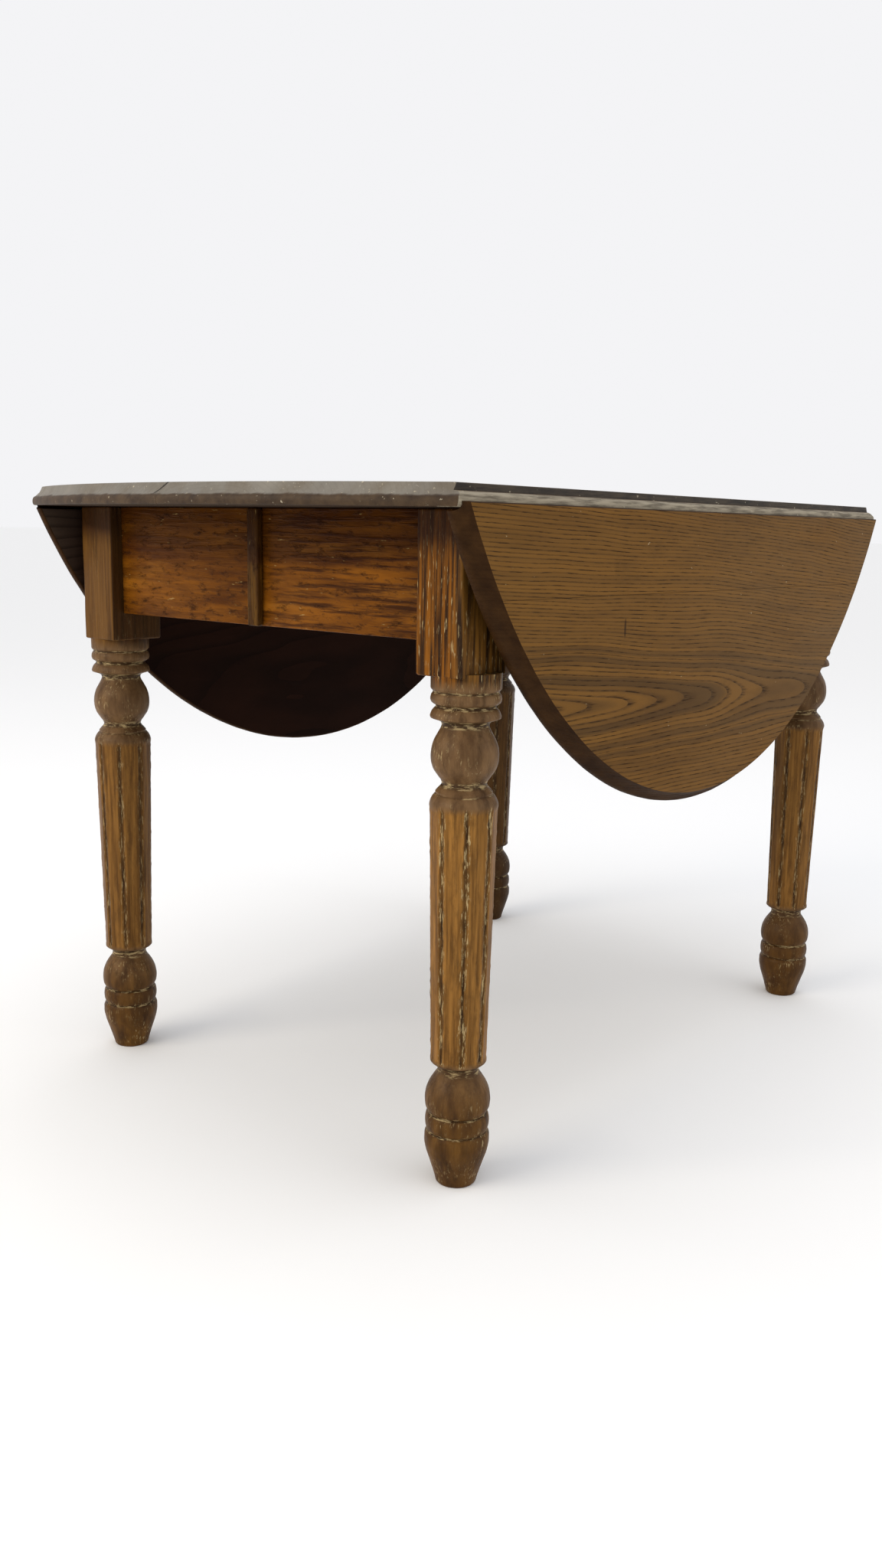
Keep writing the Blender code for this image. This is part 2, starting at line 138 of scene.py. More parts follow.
# Turned lines of a leg, height and radius, each run smooth and each join a crisp arris
LEG_RUNS = (
    ((0.0000, 0.0210), (0.0018, 0.0226)),
    ((0.0018, 0.0226), (0.0100, 0.0248), (0.0250, 0.0295), (0.0400, 0.0342), (0.0500, 0.0358),
     (0.0565, 0.0357), (0.0606, 0.0341)),
    ((0.0606, 0.0341), (0.0622, 0.0328), (0.0640, 0.0336)),
    ((0.0640, 0.0336), (0.0680, 0.0348), (0.0734, 0.0352), (0.0785, 0.0346), (0.0812, 0.0334)),
    ((0.0812, 0.0334), (0.0827, 0.0318), (0.0842, 0.0326)),
    ((0.0842, 0.0326), (0.0900, 0.0352), (0.0975, 0.0359), (0.1060, 0.0350), (0.1150, 0.0318),
     (0.1230, 0.0270), (0.1290, 0.0230), (0.1325, 0.0222), (0.1385, 0.0246)),
    ((0.1385, 0.0246), (0.1400, 0.0290), (0.1418, 0.0308)),
    ((0.1418, 0.0308), (0.1450, 0.0314), (0.1500, 0.0318)),
    ((0.1500, 0.0318), (0.4180, 0.0371)),
    ((0.4180, 0.0371), (0.4235, 0.0369), (0.4290, 0.0356), (0.4335, 0.0334), (0.4362, 0.0312)),
    ((0.4362, 0.0312), (0.4374, 0.0300), (0.4390, 0.0303)),
    ((0.4390, 0.0303), (0.4420, 0.0278), (0.4450, 0.0250), (0.4473, 0.0237)),
    ((0.4473, 0.0237), (0.4500, 0.0243), (0.4560, 0.0283), (0.4640, 0.0333), (0.4720, 0.0354),
     (0.4769, 0.0357), (0.4840, 0.0350), (0.4920, 0.0328), (0.5000, 0.0288), (0.5060, 0.0256),
     (0.5091, 0.0247), (0.5120, 0.0256)),
    ((0.5120, 0.0256), (0.5140, 0.0290), (0.5156, 0.0340)),
    ((0.5156, 0.0340), (0.5166, 0.0366), (0.5185, 0.0371)),
    ((0.5185, 0.0371), (0.5225, 0.0358), (0.5255, 0.0338), (0.5274, 0.0318)),
    ((0.5274, 0.0318), (0.5290, 0.0312), (0.5304, 0.0326)),
    ((0.5304, 0.0326), (0.5325, 0.0358), (0.5362, 0.0371), (0.5400, 0.0365), (0.5425, 0.0350)),
    ((0.5425, 0.0350), (0.5438, 0.0343), (0.5450, 0.0352)),
    ((0.5450, 0.0352), (0.5475, 0.0369), (0.5640, 0.0371)),
)
LEG_STEPS = 128
RUN_STEP = 0.0012
SHAFT_STEP = 0.0045
GROOVES = 8
GROOVE_DEPTH = 0.0030
GROOVE_HALF = 0.0043
FLATNESS = 0.82
LEG_WEAR = 0.0004

# Heights at which blocks and aprons go dark close under the top: painted shade of the overhang, on the aprons
# over darker varnish
BLOCK_DARK_FROM, BLOCK_DARK_TO = 0.676, 0.704
APRON_DARK_FROM, APRON_DARK_TO = 0.661, 0.668
# A plugged slot in the outer face of the front leaf: its centre, and half its size
PLUG_CENTRE = (-0.204, -0.354, 0.603)
PLUG_HALF = (0.0017, 0.0200, 0.0095)

# The view: from the near corner, a little under the top, looking slightly down
CAMERA_PLACE = (-1.4346, -1.1190, 0.7061)
CAMERA_TURNS = (50.18, 11.14, 1.05)
CAMERA_LENS = 29.66
FLOOR_SIZE = 150.0
ROOM_LIGHT = 0.92

# A leaf is drawn open about its pin and then hung. The back of the table is the front turned round
HUNG = Matrix.Translation((0.0, -PIN_Y, PIN_Z)) @ Matrix.Rotation(math.pi / 2, 4, "X")
TURNED = Matrix.Rotation(math.pi, 4, "Z")

# Kinds and settings that many nodes share
MATHS, RANGE = "ShaderNodeMath", "ShaderNodeMapRange"
TIMES = {"operation": "MULTIPLY"}
SMOOTH = {"interpolation_type": "SMOOTHSTEP"}


def linear(hex_colour):
    """Turns an sRGB hex colour into Blender's linear colour."""
    channels = [int(hex_colour[i : i + 2], 16) / 255 for i in (1, 3, 5)]
    return (*(c / 12.92 if c <= 0.04045 else ((c + 0.055) / 1.055) ** 2.4 for c in channels), 1.0)


def add(tree, kind, settings=None, sockets=None):
    """Adds a node, sets its options, and sets or links its sockets by name or number."""
    made = tree.nodes.new(kind)
    for name, value in (settings or {}).items():
        setattr(made, name, value)
    for name, value in (sockets or {}).items():
        socket = made.inputs[name]
        if isinstance(value, bpy.types.Node):
            tree.links.new(value.outputs[0], socket)
        elif isinstance(value, bpy.types.NodeSocket):
            tree.links.new(value, socket)
        else:
            socket.default_value = value
    return made


# ---------------------------------------------------------------- meshes


def object_of(name, mesh):
    obj = bpy.data.objects.new(name, mesh)
    bpy.context.scene.collection.objects.link(obj)
    return obj


def mesh_of(name, bm, outward=True):
    if outward:
        bmesh.ops.recalc_face_normals(bm, faces=bm.faces)
    mesh = bpy.data.meshes.new(name)
    bm.to_mesh(mesh)
    bm.free()
    return mesh


def box_of(name, low, high):
    bm = bmesh.new()
    bmesh.ops.create_cube(bm, size=1.0)
    low, high = Vector(low), Vector(high)
    bmesh.ops.scale(bm, vec=high - low, verts=bm.verts)
    bmesh.ops.translate(bm, vec=(low + high) / 2, verts=bm.verts)
    return object_of(name, mesh_of(name, bm))


def prism_of(name, outline, x_low, x_high):
    bm = bmesh.new()
    low = [bm.verts.new((x_low, y, z)) for y, z in outline]
    high = [bm.verts.new((x_high, y, z)) for y, z in outline]
    bm.faces.new(low)
    bm.faces.new(high)
    for i in range(len(outline)):
        j = (i + 1) % len(outline)
        bm.faces.new((low[i], low[j], high[j], high[i]))
    return object_of(name, mesh_of(name, bm))


def barrel_of(name, radius, x_low, x_high, y, z, steps=24):
    turn = 2 * math.pi / steps
    outline = [(y + radius * math.cos(i * turn), z + radius * math.sin(i * turn)) for i in range(steps)]
    return prism_of(name, outline, x_low, x_high)


def carve(obj, steps):
    """Applies Boolean steps, given as (operation, other), and drops the cutters."""
    for operation, other in steps:
        modifier = obj.modifiers.new(operation, "BOOLEAN")
        modifier.operation = operation
        modifier.solver = "EXACT"
        modifier.object = other
    flatten(obj)
    for _, other in steps:
        bpy.data.objects.remove(other)
    return obj


def flatten(obj):
    """Turns an object's modifiers into its plain mesh."""
    bpy.context.view_layer.update()
    graph = bpy.context.evaluated_depsgraph_get()
    mesh = bpy.data.meshes.new_from_object(obj.evaluated_get(graph))
    obj.modifiers.clear()
    mesh.name = obj.name
    obj.data = mesh
    return obj


def shade(obj, degrees=32):
    obj.data.shade_smooth()
    obj.data.set_sharp_from_angle(angle=math.radians(degrees))
    return obj


def dress(obj, material, body, *nodes):
    """Gives a finished piece its material and its body, and hides the CAD nodes it stands for."""
    obj.data.materials.clear()
    obj.data.materials.append(material)
    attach(obj, body)
    if nodes:
        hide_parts(*nodes)
    return obj


def softened(name, node, width, segments=3):
    """A copy of a square-edged CAD node with its arrises rounded over by wear."""
    bm = bmesh.new()
    bm.from_mesh(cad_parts[node].data)
    bmesh.ops.remove_doubles(bm, verts=bm.verts, dist=WELD)
    level, arris = 0.002, 0.6
    bmesh.ops.dissolve_limit(bm, angle_limit=level, verts=bm.verts, edges=bm.edges)
    arrises = [e for e in bm.edges if len(e.link_faces) == 2 and e.calc_face_angle(0) > arris]
    bmesh.ops.bevel(
        bm, geom=arrises, offset=width, segments=segments, profile=0.5, affect="EDGES", clamp_overlap=True
    )
    return shade(object_of(name, mesh_of(name, bm)))


# ---------------------------------------------------------------- the oval top and leaves


def rim_waver(angle):
    """How far the hand-worn rim strays in or out at an angle round the oval."""
    slow = noise.noise(Vector((6 * math.cos(angle), 6 * math.sin(angle), 0.3)))
    quick = noise.noise(Vector((26 * math.cos(angle), 26 * math.sin(angle), 4.1)))
    return RIM_WAVER * (0.6 * slow + 0.7 * quick)


def oval_of(name, bottom, shift_y):
    bm = bmesh.new()
    rings = []
    for level, (inset, height) in enumerate(EDGE_PROFILE):
        ring = []
        for i in range(OVAL_STEPS):
            turn = 2 * math.pi * (i + 0.5) / OVAL_STEPS
            worn = inset + RIM_WAVER * 0.6 + rim_waver(turn + 0.004 * level)
            x = (OVAL_HALF_LENGTH - worn) * math.cos(turn)
            y = (OVAL_HALF_WIDTH - worn) * math.sin(turn)
            ring.append(bm.verts.new((x, y + shift_y, bottom + height)))
        rings.append(ring)
    for lower, upper in zip(rings, rings[1:]):
        for i in range(OVAL_STEPS):
            j = (i + 1) % OVAL_STEPS
            bm.faces.new((lower[i], lower[j], upper[j], upper[i]))
    bm.faces.new(rings[0])
    bm.faces.new(rings[-1])
    return object_of(name, mesh_of(name, bm))


def arc(radius, first, last, steps):
    turns = [math.radians(first + (last - first) * i / steps) for i in range(steps + 1)]
    return [(radius * math.cos(turn), radius * math.sin(turn)) for turn in turns]


def top_board(name):
    """The front half of the fixed top, with its rule joint edge and hinge seats."""
    over, under = TABLE_HEIGHT + PAST_FACE, UNDERSIDE - PAST_FACE
    last = 180 + math.degrees(math.asin(PIN_ABOVE_UNDERSIDE / RULE_RADIUS))
    edge = [(y - PIN_Y, z + PIN_Z) for y, z in arc(RULE_RADIUS, 90, last, 18)]
    arris = 0.0008
    outline = [(-FIT_GAP / 2, under), (-FIT_GAP / 2, TABLE_HEIGHT - arris)]
    outline += [(-FIT_GAP / 2 - arris, TABLE_HEIGHT), (-FIT_GAP / 2 - arris, over)]
    outline += [(-PIN_Y + 2 * arris, over), (-PIN_Y + 2 * arris, TABLE_HEIGHT)]
    outline += [(-PIN_Y + arris / 2, TABLE_HEIGHT - 0.3 * arris), (-PIN_Y, TABLE_HEIGHT - arris)]
    outline += edge + [(edge[-1][0], under)]
    board = oval_of(name, UNDERSIDE, 0.0)
    steps = [("INTERSECT", prism_of("keep", outline, -PAST_ENDS, PAST_ENDS))]
    half = HINGE_LENGTH / 2 + FIT_GAP
    ceiling = PIN_Z + PLATE_TOP + FIT_GAP
    seat_end = -PIN_Y + FIXED_PLATE_REACH + FIT_GAP
    notch_start, notch_end = -PIN_Y - KNUCKLE_OUT, -PIN_Y + KNUCKLE_IN
    for x in HINGE_X:
        seat = box_of("seat", (x - half, -PIN_Y - SEAT_OUT, under), (x + half, seat_end, ceiling))
        notch = box_of("notch", (x - half, notch_start, under), (x + half, notch_end, ceiling))
        barrel = barrel_of("barrel", BARREL_RADIUS + FIT_GAP, x - half, x + half, -PIN_Y, PIN_Z)
        steps += [("DIFFERENCE", seat), ("DIFFERENCE", notch), ("DIFFERENCE", barrel)]
    return carve(board, steps)


def leaf_board(name, outer):
    """One board of the front leaf, drawn open about the pin and then hung."""
    face = TABLE_HEIGHT - PIN_Z
    low, high = -PIN_ABOVE_UNDERSIDE - PAST_FACE, face + PAST_FACE
    arris, glue_line = 0.00015, 0.00012
    if outer:
        start = -LEAF_SPLIT - glue_line / 2
        outline = [(start, low), (start, face - arris), (start - arris, face), (start - arris, high)]
        outline += [(-PAST_ENDS, high), (-PAST_ENDS, low)]
    else:
        radius = RULE_RADIUS + RULE_CLEARANCE
        first = 90 + math.degrees(math.asin(RULE_CLEARANCE / radius))
        cove = arc(radius, first, 180, 14)
        end = -LEAF_SPLIT + glue_line / 2
        lip = 0.0012
        mouth = -RULE_CLEARANCE
        outline = [(mouth - lip, high), (mouth - lip, face), (mouth, face - lip)] + cove
        outline += [(cove[-1][0], low), (end, low), (end, face - arris)]
        outline += [(end + arris, face), (end + arris, high)]
    board = oval_of(name, -PIN_ABOVE_UNDERSIDE, PIN_Y)
    steps = [("INTERSECT", prism_of("keep", outline, -PAST_ENDS, PAST_ENDS))]
    half = HINGE_LENGTH / 2 + FIT_GAP
    seat_start = -LEAF_PLATE_REACH - FIT_GAP
    for x in () if outer else HINGE_X:
        seat = box_of("seat", (x - half, seat_start, low), (x + half, 0.0, PLATE_TOP + FIT_GAP))
        steps.append(("DIFFERENCE", seat))
    carve(board, steps)
    board.data.transform(HUNG)
    return board


def paint_sides(obj, outward):
    """Stores on each face whether it is the show side, the rim, or the hidden side."""
    mesh = obj.data
    rim = mesh.attributes.new("rim", "FLOAT", "FACE")
    hidden = mesh.attributes.new("hidden_side", "FLOAT", "FACE")
    facing = np.array([face.normal.dot(outward) for face in mesh.polygons])
    flat = 0.93
    rim.data.foreach_set("value", (np.abs(facing) < flat).astype(np.float32))
    hidden.data.foreach_set("value", (facing < -flat).astype(np.float32))


def line_underside(obj, material):
    """Gives the faces of the hidden side their own bare, dirty finish."""
    obj.data.materials.append(material)
    values = obj.data.attributes["hidden_side"].data
    for face in obj.data.polygons:
        face.material_index = 1 if values[face.index].value > 0.5 else 0


def turned_copy(obj, name):
    """The same piece turned half round for the back of the table."""
    mesh = obj.data.copy()
    mesh.name = name
    mesh.transform(TURNED)
    return object_of(name, mesh)


# ---------------------------------------------------------------- legs


def smooth_run(points, step):
    """Samples a run of profile points along a curve that never overshoots them."""
    heights, radii = np.array(points).T
    widths = np.diff(heights)
    slopes = np.diff(radii) / widths
    tangents = np.zeros(len(points))
    tangents[0], tangents[-1] = slopes[0], slopes[-1]
    for i in range(1, len(points) - 1):
        if slopes[i - 1] * slopes[i] > 0:
            tangents[i] = 2 * slopes[i - 1] * slopes[i] / (slopes[i - 1] + slopes[i])
    found = []
    for i, width in enumerate(widths):
        count = max(2, math.ceil(width / step))
        for k in range(count):
            t = k / count
            h00, h10 = 2 * t**3 - 3 * t**2 + 1, t**3 - 2 * t**2 + t
            h01, h11 = 3 * t**2 - 2 * t**3, t**3 - t**2
            radius = h00 * radii[i] + h10 * width * tangents[i]
            radius = radius + h01 * radii[i + 1] + h11 * width * tangents[i + 1]
            found.append((heights[i] + t * width, radius))
    return found


def leg_profile():
    """The leg's outline as a chain of points, closed to the axis at both ends."""
    line = [(0.0, 0.0)]
    for run in LEG_RUNS:
        long_run = run[-1][0] - run[0][0] > 0.2
        line += smooth_run(run, SHAFT_STEP if long_run else RUN_STEP)
    line += [LEG_RUNS[-1][-1], (LEG_RUNS[-1][-1][0], 0.0)]
    mesh = bpy.data.meshes.new("leg_profile")
    edges = [(i, i + 1) for i in range(len(line) - 1)]
    mesh.from_pydata([(radius, 0.0, height) for height, radius in line], edges, [])
    return mesh


def begun_tree(name, **inputs):
    """Starts a Geometry Nodes tree; each input is named with the kind of its socket."""
    tree = bpy.data.node_groups.new(name, "GeometryNodeTree")
    sockets = [("Geometry", "INPUT", "Geometry")]
    sockets += [(label.replace("_", " "), "INPUT", kind) for label, kind in inputs.items()]
    sockets += [("Material", "INPUT", "Material"), ("Geometry", "OUTPUT", "Geometry")]
    for label, way, kind in sockets:
        tree.interface.new_socket(label, in_out=way, socket_type="NodeSocket" + kind)
    return tree, add(tree, "NodeGroupInput").outputs


def ended_tree(tree, geometry, material):
    """Ends a tree with a plain, coated mesh."""
    real = add(tree, "GeometryNodeRealizeInstances", None, {"Geometry": geometry})
    coated = add(tree, "GeometryNodeSetMaterial", None, {"Geometry": real, "Material": material})
    add(tree, "NodeGroupOutput", None, {"Geometry": coated})
    return tree


def turning_tree():
    """Geometry Nodes that spin a profile, flatten its shaft into reeds and cut the grooves."""
    tree, given = begun_tree(
        "fluted_turning", Steps_Round="Int", Grooves="Int", Groove_Depth="Float", Groove_Half_Width="Float",
        Shaft_Foot="Float", Shaft_Head="Float", Flatness="Float", Wear="Float", Seed="Float",
    )

    # A unit sheet of points: across is the turn round the axis, up is the place on the profile
    profile = given["Geometry"]
    count = add(tree, "GeometryNodeAttributeDomainSize", {"component": "MESH"}, {"Geometry": profile})
    columns = add(tree, MATHS, {"operation": "ADD"}, {0: given["Steps Round"], 1: 1.0})
    sheet = add(
        tree, "GeometryNodeMeshGrid", None,
        {"Size X": 1.0, "Size Y": 1.0, "Vertices X": columns, "Vertices Y": count.outputs["Point Count"]},
    )
    place = add(tree, "ShaderNodeSeparateXYZ", None, {0: add(tree, "GeometryNodeInputPosition")})
    turn = add(tree, MATHS, {"operation": "MULTIPLY_ADD"}, {0: place.outputs["X"], 1: math.tau, 2: math.pi})
    last = add(tree, MATHS, {"operation": "SUBTRACT"}, {0: count.outputs["Point Count"], 1: 1.0})
    share = add(tree, MATHS, {"operation": "ADD"}, {0: place.outputs["Y"], 1: 0.5})
    spot = add(tree, MATHS, TIMES, {0: share, 1: last})
    index = add(tree, MATHS, {"operation": "ROUND"}, {0: spot})
    on_profile = {"Geometry": profile, "Value": add(tree, "GeometryNodeInputPosition")}
    sampling = {"data_type": "FLOAT_VECTOR", "domain": "POINT", "clamp": True}
    sampled = add(tree, "GeometryNodeSampleIndex", sampling, {**on_profile, "Index": index})
    outline = add(tree, "ShaderNodeSeparateXYZ", None, {0: sampled}).outputs
    radius, height = outline["X"], outline["Z"]

    # Where the shaft is: 1 between its foot and its head
    below = add(tree, MATHS, {"operation": "SUBTRACT"}, {0: given["Shaft Foot"], 1: FADE_BELOW})
    above = add(tree, MATHS, {"operation": "ADD"}, {0: given["Shaft Head"], 1: FADE_ABOVE})
    rise = add(tree, RANGE, SMOOTH, {"Value": height, "From Min": below, "From Max": given["Shaft Foot"]})
    fall = add(tree, RANGE, SMOOTH, {"Value": height, "From Min": above, "From Max": given["Shaft Head"]})
    shaft = add(tree, MATHS, TIMES, {0: rise, 1: fall})

    # Angle from the nearest groove, and the flat reed between two grooves
    half_reed = add(tree, MATHS, {"operation": "DIVIDE"}, {0: math.pi, 1: given["Grooves"]})
    from_groove = add(tree, MATHS, {"operation": "PINGPONG"}, {0: turn, 1: half_reed})
    from_middle = add(tree, MATHS, {"operation": "SUBTRACT"}, {0: half_reed, 1: from_groove})
    near = add(tree, MATHS, {"operation": "COSINE"}, {0: half_reed})
    far = add(tree, MATHS, {"operation": "COSINE"}, {0: from_middle})
    flat = add(tree, MATHS, {"operation": "DIVIDE"}, {0: near, 1: far})
    loss = add(tree, MATHS, {"operation": "SUBTRACT"}, {0: flat, 1: 1.0})
    eased = add(tree, MATHS, TIMES, {0: loss, 1: given["Flatness"]})
    reed = add(tree, MATHS, {"operation": "MULTIPLY_ADD"}, {0: eased, 1: shaft, 2: 1.0})
    reeded = add(tree, MATHS, TIMES, {0: radius, 1: reed})

    # Chipped V grooves, whose width strays along their length
    along = add(tree, "ShaderNodeCombineXYZ", None, {"X": turn, "Y": given["Seed"], "Z": height})
    stretch = add(tree, "ShaderNodeVectorMath", TIMES, {0: along, 1: (3.0, 1.0, 150.0)})
    chips = add(tree, "ShaderNodeTexNoise", None, {"Vector": stretch, "Scale": 1.0, "Detail": 2.0})
    strayed = add(
        tree, RANGE, None,
        {"Value": chips.outputs[0], "From Min": 0.25, "From Max": 0.75, "To Min": 0.55, "To Max": 1.45},
    )
    half_width = add(tree, MATHS, TIMES, {0: given["Groove Half Width"], 1: strayed})
    arc_away = add(tree, MATHS, TIMES, {0: from_groove, 1: radius})
    groove = add(tree, RANGE, None, {"Value": arc_away, "From Min": half_width, "From Max": 0.0})
    cut = add(tree, MATHS, TIMES, {0: groove, 1: shaft})
    depth = add(tree, MATHS, TIMES, {0: cut, 1: given["Groove Depth"]})
    grooved = add(tree, MATHS, {"operation": "SUBTRACT"}, {0: reeded, 1: depth})

    # Knocks and wear, which never reach past the turned surface
    across = add(tree, MATHS, {"operation": "COSINE"}, {0: turn})
    beside = add(tree, MATHS, {"operation": "SINE"}, {0: turn})
    around = add(tree, "ShaderNodeCombineXYZ", None, {"X": across, "Y": beside, "Z": height})
    spread = add(tree, "ShaderNodeVectorMath", TIMES, {0: around, 1: (1.6, 1.6, 55.0)})
    knocks = add(
        tree, "ShaderNodeTexNoise", {"noise_dimensions": "4D"},
        {"Vector": spread, "W": given["Seed"], "Scale": 1.0, "Detail": 4.0},
    )
    worn = add(tree, RANGE, None, {"Value": knocks.outputs[0], "From Min": 0.42, "From Max": 0.80})
    rub = add(tree, MATHS, TIMES, {0: worn, 1: given["Wear"]})
    rubbed = add(tree, MATHS, {"operation": "SUBTRACT"}, {0: grooved, 1: rub})
    kept = add(tree, MATHS, {"operation": "GREATER_THAN"}, {0: radius, 1: 0.001})
    final = add(tree, MATHS, TIMES, {0: rubbed, 1: kept})
    x = add(tree, MATHS, TIMES, {0: final, 1: across})
    y = add(tree, MATHS, TIMES, {0: final, 1: beside})
    point = add(tree, "ShaderNodeCombineXYZ", None, {"X": x, "Y": y, "Z": height})

    # How far the profile dips below its neighbours: the crevices between beads, which are drawn darker
    neighbours = []
    for offset in (-4.0, 4.0):
        moved = add(tree, MATHS, {"operation": "ADD"}, {0: index, 1: offset})
        found = add(tree, "GeometryNodeSampleIndex", sampling, {**on_profile, "Index": moved})
        neighbours.append(add(tree, "ShaderNodeSeparateXYZ", None, {0: found}).outputs["X"])
    both = add(tree, MATHS, {"operation": "ADD"}, {0: neighbours[0], 1: neighbours[1]})
    mean = add(tree, MATHS, TIMES, {0: both, 1: 0.5})
    dip = add(tree, MATHS, {"operation": "SUBTRACT"}, {0: mean, 1: radius})
    crevice = add(tree, RANGE, None, {"Value": dip, "From Min": 0.0005, "From Max": 0.0018})

    stored = sheet.outputs["Mesh"]
    for name, value in (("groove", cut), ("shaft", shaft), ("crevice", crevice)):
        stored = add(
            tree, "GeometryNodeStoreNamedAttribute", {"data_type": "FLOAT", "domain": "POINT"},
            {"Geometry": stored, "Name": name, "Value": value},
        ).outputs[0]
    spun = add(tree, "GeometryNodeSetPosition", None, {"Geometry": stored, "Position": point})
    merged = add(tree, "GeometryNodeMergeByDistance", None, {"Geometry": spun, "Distance": WELD})
    return ended_tree(tree, merged, given["Material"])


def grown(name, mesh, tree, values):
    """Runs a Geometry Nodes tree on a mesh and keeps the plain mesh it makes."""
    obj = object_of(name, mesh)
    modifier = obj.modifiers.new("grown", "NODES")
    modifier.node_group = tree
    sockets = {item.name: item.identifier for item in tree.interface.items_tree if item.in_out == "INPUT"}
    for label, value in values.items():
        modifier[sockets[label]] = value
    return flatten(obj)


def worn_block(low, high, seed):
    """A squared block whose arrises are rounded unevenly by wear."""
    low, high = Vector(low), Vector(high)
    radius, step = BLOCK_WEAR, 0.012
    # Rows of points along each axis, close together near the arrises
    lines = []
    for axis in range(3):
        a, b = low[axis], high[axis]
        near = [0.0, 0.15 * radius, 0.4 * radius, 0.7 * radius, radius, 1.6 * radius]
        inner_face_shade_and_finish = np.linspace(a + 1.6 * radius, b - 1.6 * radius, max(2, math.ceil((b - a) / step)))[1:-1]
        lines.append([a + n for n in near] + list(inner_face_shade_and_finish) + [b - n for n in reversed(near)])
    bm = bmesh.new()
    known = {}

    def corner(point):
        key = tuple(round(c, 7) for c in point)
        if key not in known:
            stray = 0.5 + 1.3 * noise.noise(Vector(point) * 30 + Vector((seed, 0, 0)))
            bite = radius * min(1.5, max(0.35, 0.8 + stray * 0.6))
            core = Vector([min(max(point[i], low[i] + bite), high[i] - bite) for i in range(3)])
            away = Vector(point) - core
            reach = core + away.normalized() * bite if away.length > bite else Vector(point)
            known[key] = bm.verts.new(reach)
        return known[key]

    for axis in range(3):
        u, v = [i for i in range(3) if i != axis]
        for side in (low[axis], high[axis]):
            for a0, a1 in zip(lines[u], lines[u][1:]):
                for b0, b1 in zip(lines[v], lines[v][1:]):
                    spots = []
                    for a, b in ((a0, b0), (a1, b0), (a1, b1), (a0, b1)):
                        spot = [0.0, 0.0, 0.0]
                        spot[axis], spot[u], spot[v] = side, a, b
                        spots.append(corner(spot))
                    if len(set(spots)) > 2:
                        bm.faces.new(list(dict.fromkeys(spots)))
    bmesh.ops.remove_doubles(bm, verts=bm.verts, dist=2 * WELD)
    return mesh_of("block", bm)


def joined(name, *meshes):
    """One mesh of several closed shells, keeping their stored values."""
    objects = [object_of(name + "_shell", mesh) for mesh in meshes]
    whole = objects[0]
    with bpy.context.temp_override(
        active_object=whole, object=whole, selected_objects=objects, selected_editable_objects=objects
    ):
        bpy.ops.object.join()
    whole.name = name
    whole.data.name = name
    return whole


def leg(label, sign_x, sign_y, tree, material, seed):
    values = {
        "Steps Round": LEG_STEPS, "Grooves": GROOVES, "Groove Depth": GROOVE_DEPTH,
        "Groove Half Width": GROOVE_HALF, "Shaft Foot": SHAFT_FOOT, "Shaft Head": SHAFT_HEAD,
        "Flatness": FLATNESS, "Wear": LEG_WEAR, "Seed": float(seed), "Material": material,
    }
    turned = grown("turned_" + label, leg_profile(), tree, values)
    bm = bmesh.new()
    bm.from_mesh(turned.data)
    bmesh.ops.remove_doubles(bm, verts=bm.verts, dist=WELD)
    bmesh.ops.recalc_face_normals(bm, faces=bm.faces)
    bm.to_mesh(turned.data)
    bm.free()
    turned.data.transform(Matrix.Translation((sign_x * LEG_X, sign_y * LEG_Y, 0.0)))
    y_low, y_high = sorted((sign_y * (LEG_Y - BLOCK_HALF), sign_y * (LEG_Y + BLOCK_OUTER)))
    low = (sign_x * LEG_X - BLOCK_HALF, y_low, BLOCK_BOTTOM)
    high = (sign_x * LEG_X + BLOCK_HALF, y_high, UNDERSIDE - FIT_GAP)
    block = object_of("block_" + label, worn_block(low, high, seed))
    middle = (APRON_LOW.z + UNDERSIDE) / 2
    foot, head = middle - TENON_HEIGHT / 2 - FIT_GAP, middle + TENON_HEIGHT / 2 + FIT_GAP
    half, deep = TENON_THICK / 2 + FIT_GAP, TENON_LENGTH + 2 * FIT_GAP
    side_y = sign_y * (SIDE_APRON_FACE - APRON_THICK / 2)
    end_x = sign_x * (END_APRON_FACE - APRON_THICK / 2)
    inner_x = sign_x * (LEG_X - BLOCK_HALF)
    inner_y = sign_y * (LEG_Y - BLOCK_HALF)
    x_low, x_high = sorted((inner_x - sign_x * PAST_FACE, inner_x + sign_x * deep))
    side_mortise = box_of("side_mortise", (x_low, side_y - half, foot), (x_high, side_y + half, head))
    y_low, y_high = sorted((inner_y - sign_y * PAST_FACE, inner_y + sign_y * deep))
    end_mortise = box_of("end_mortise", (end_x - half, y_low, foot), (end_x + half, y_high, head))
    carve(block, [("DIFFERENCE", side_mortise), ("DIFFERENCE", end_mortise)])
    meshes = [turned.data, block.data]
    for part in (turned, block):
        bpy.data.objects.remove(part)
    return shade(joined("turned_leg_" + label, *meshes), 40)


# ---------------------------------------------------------------- screws


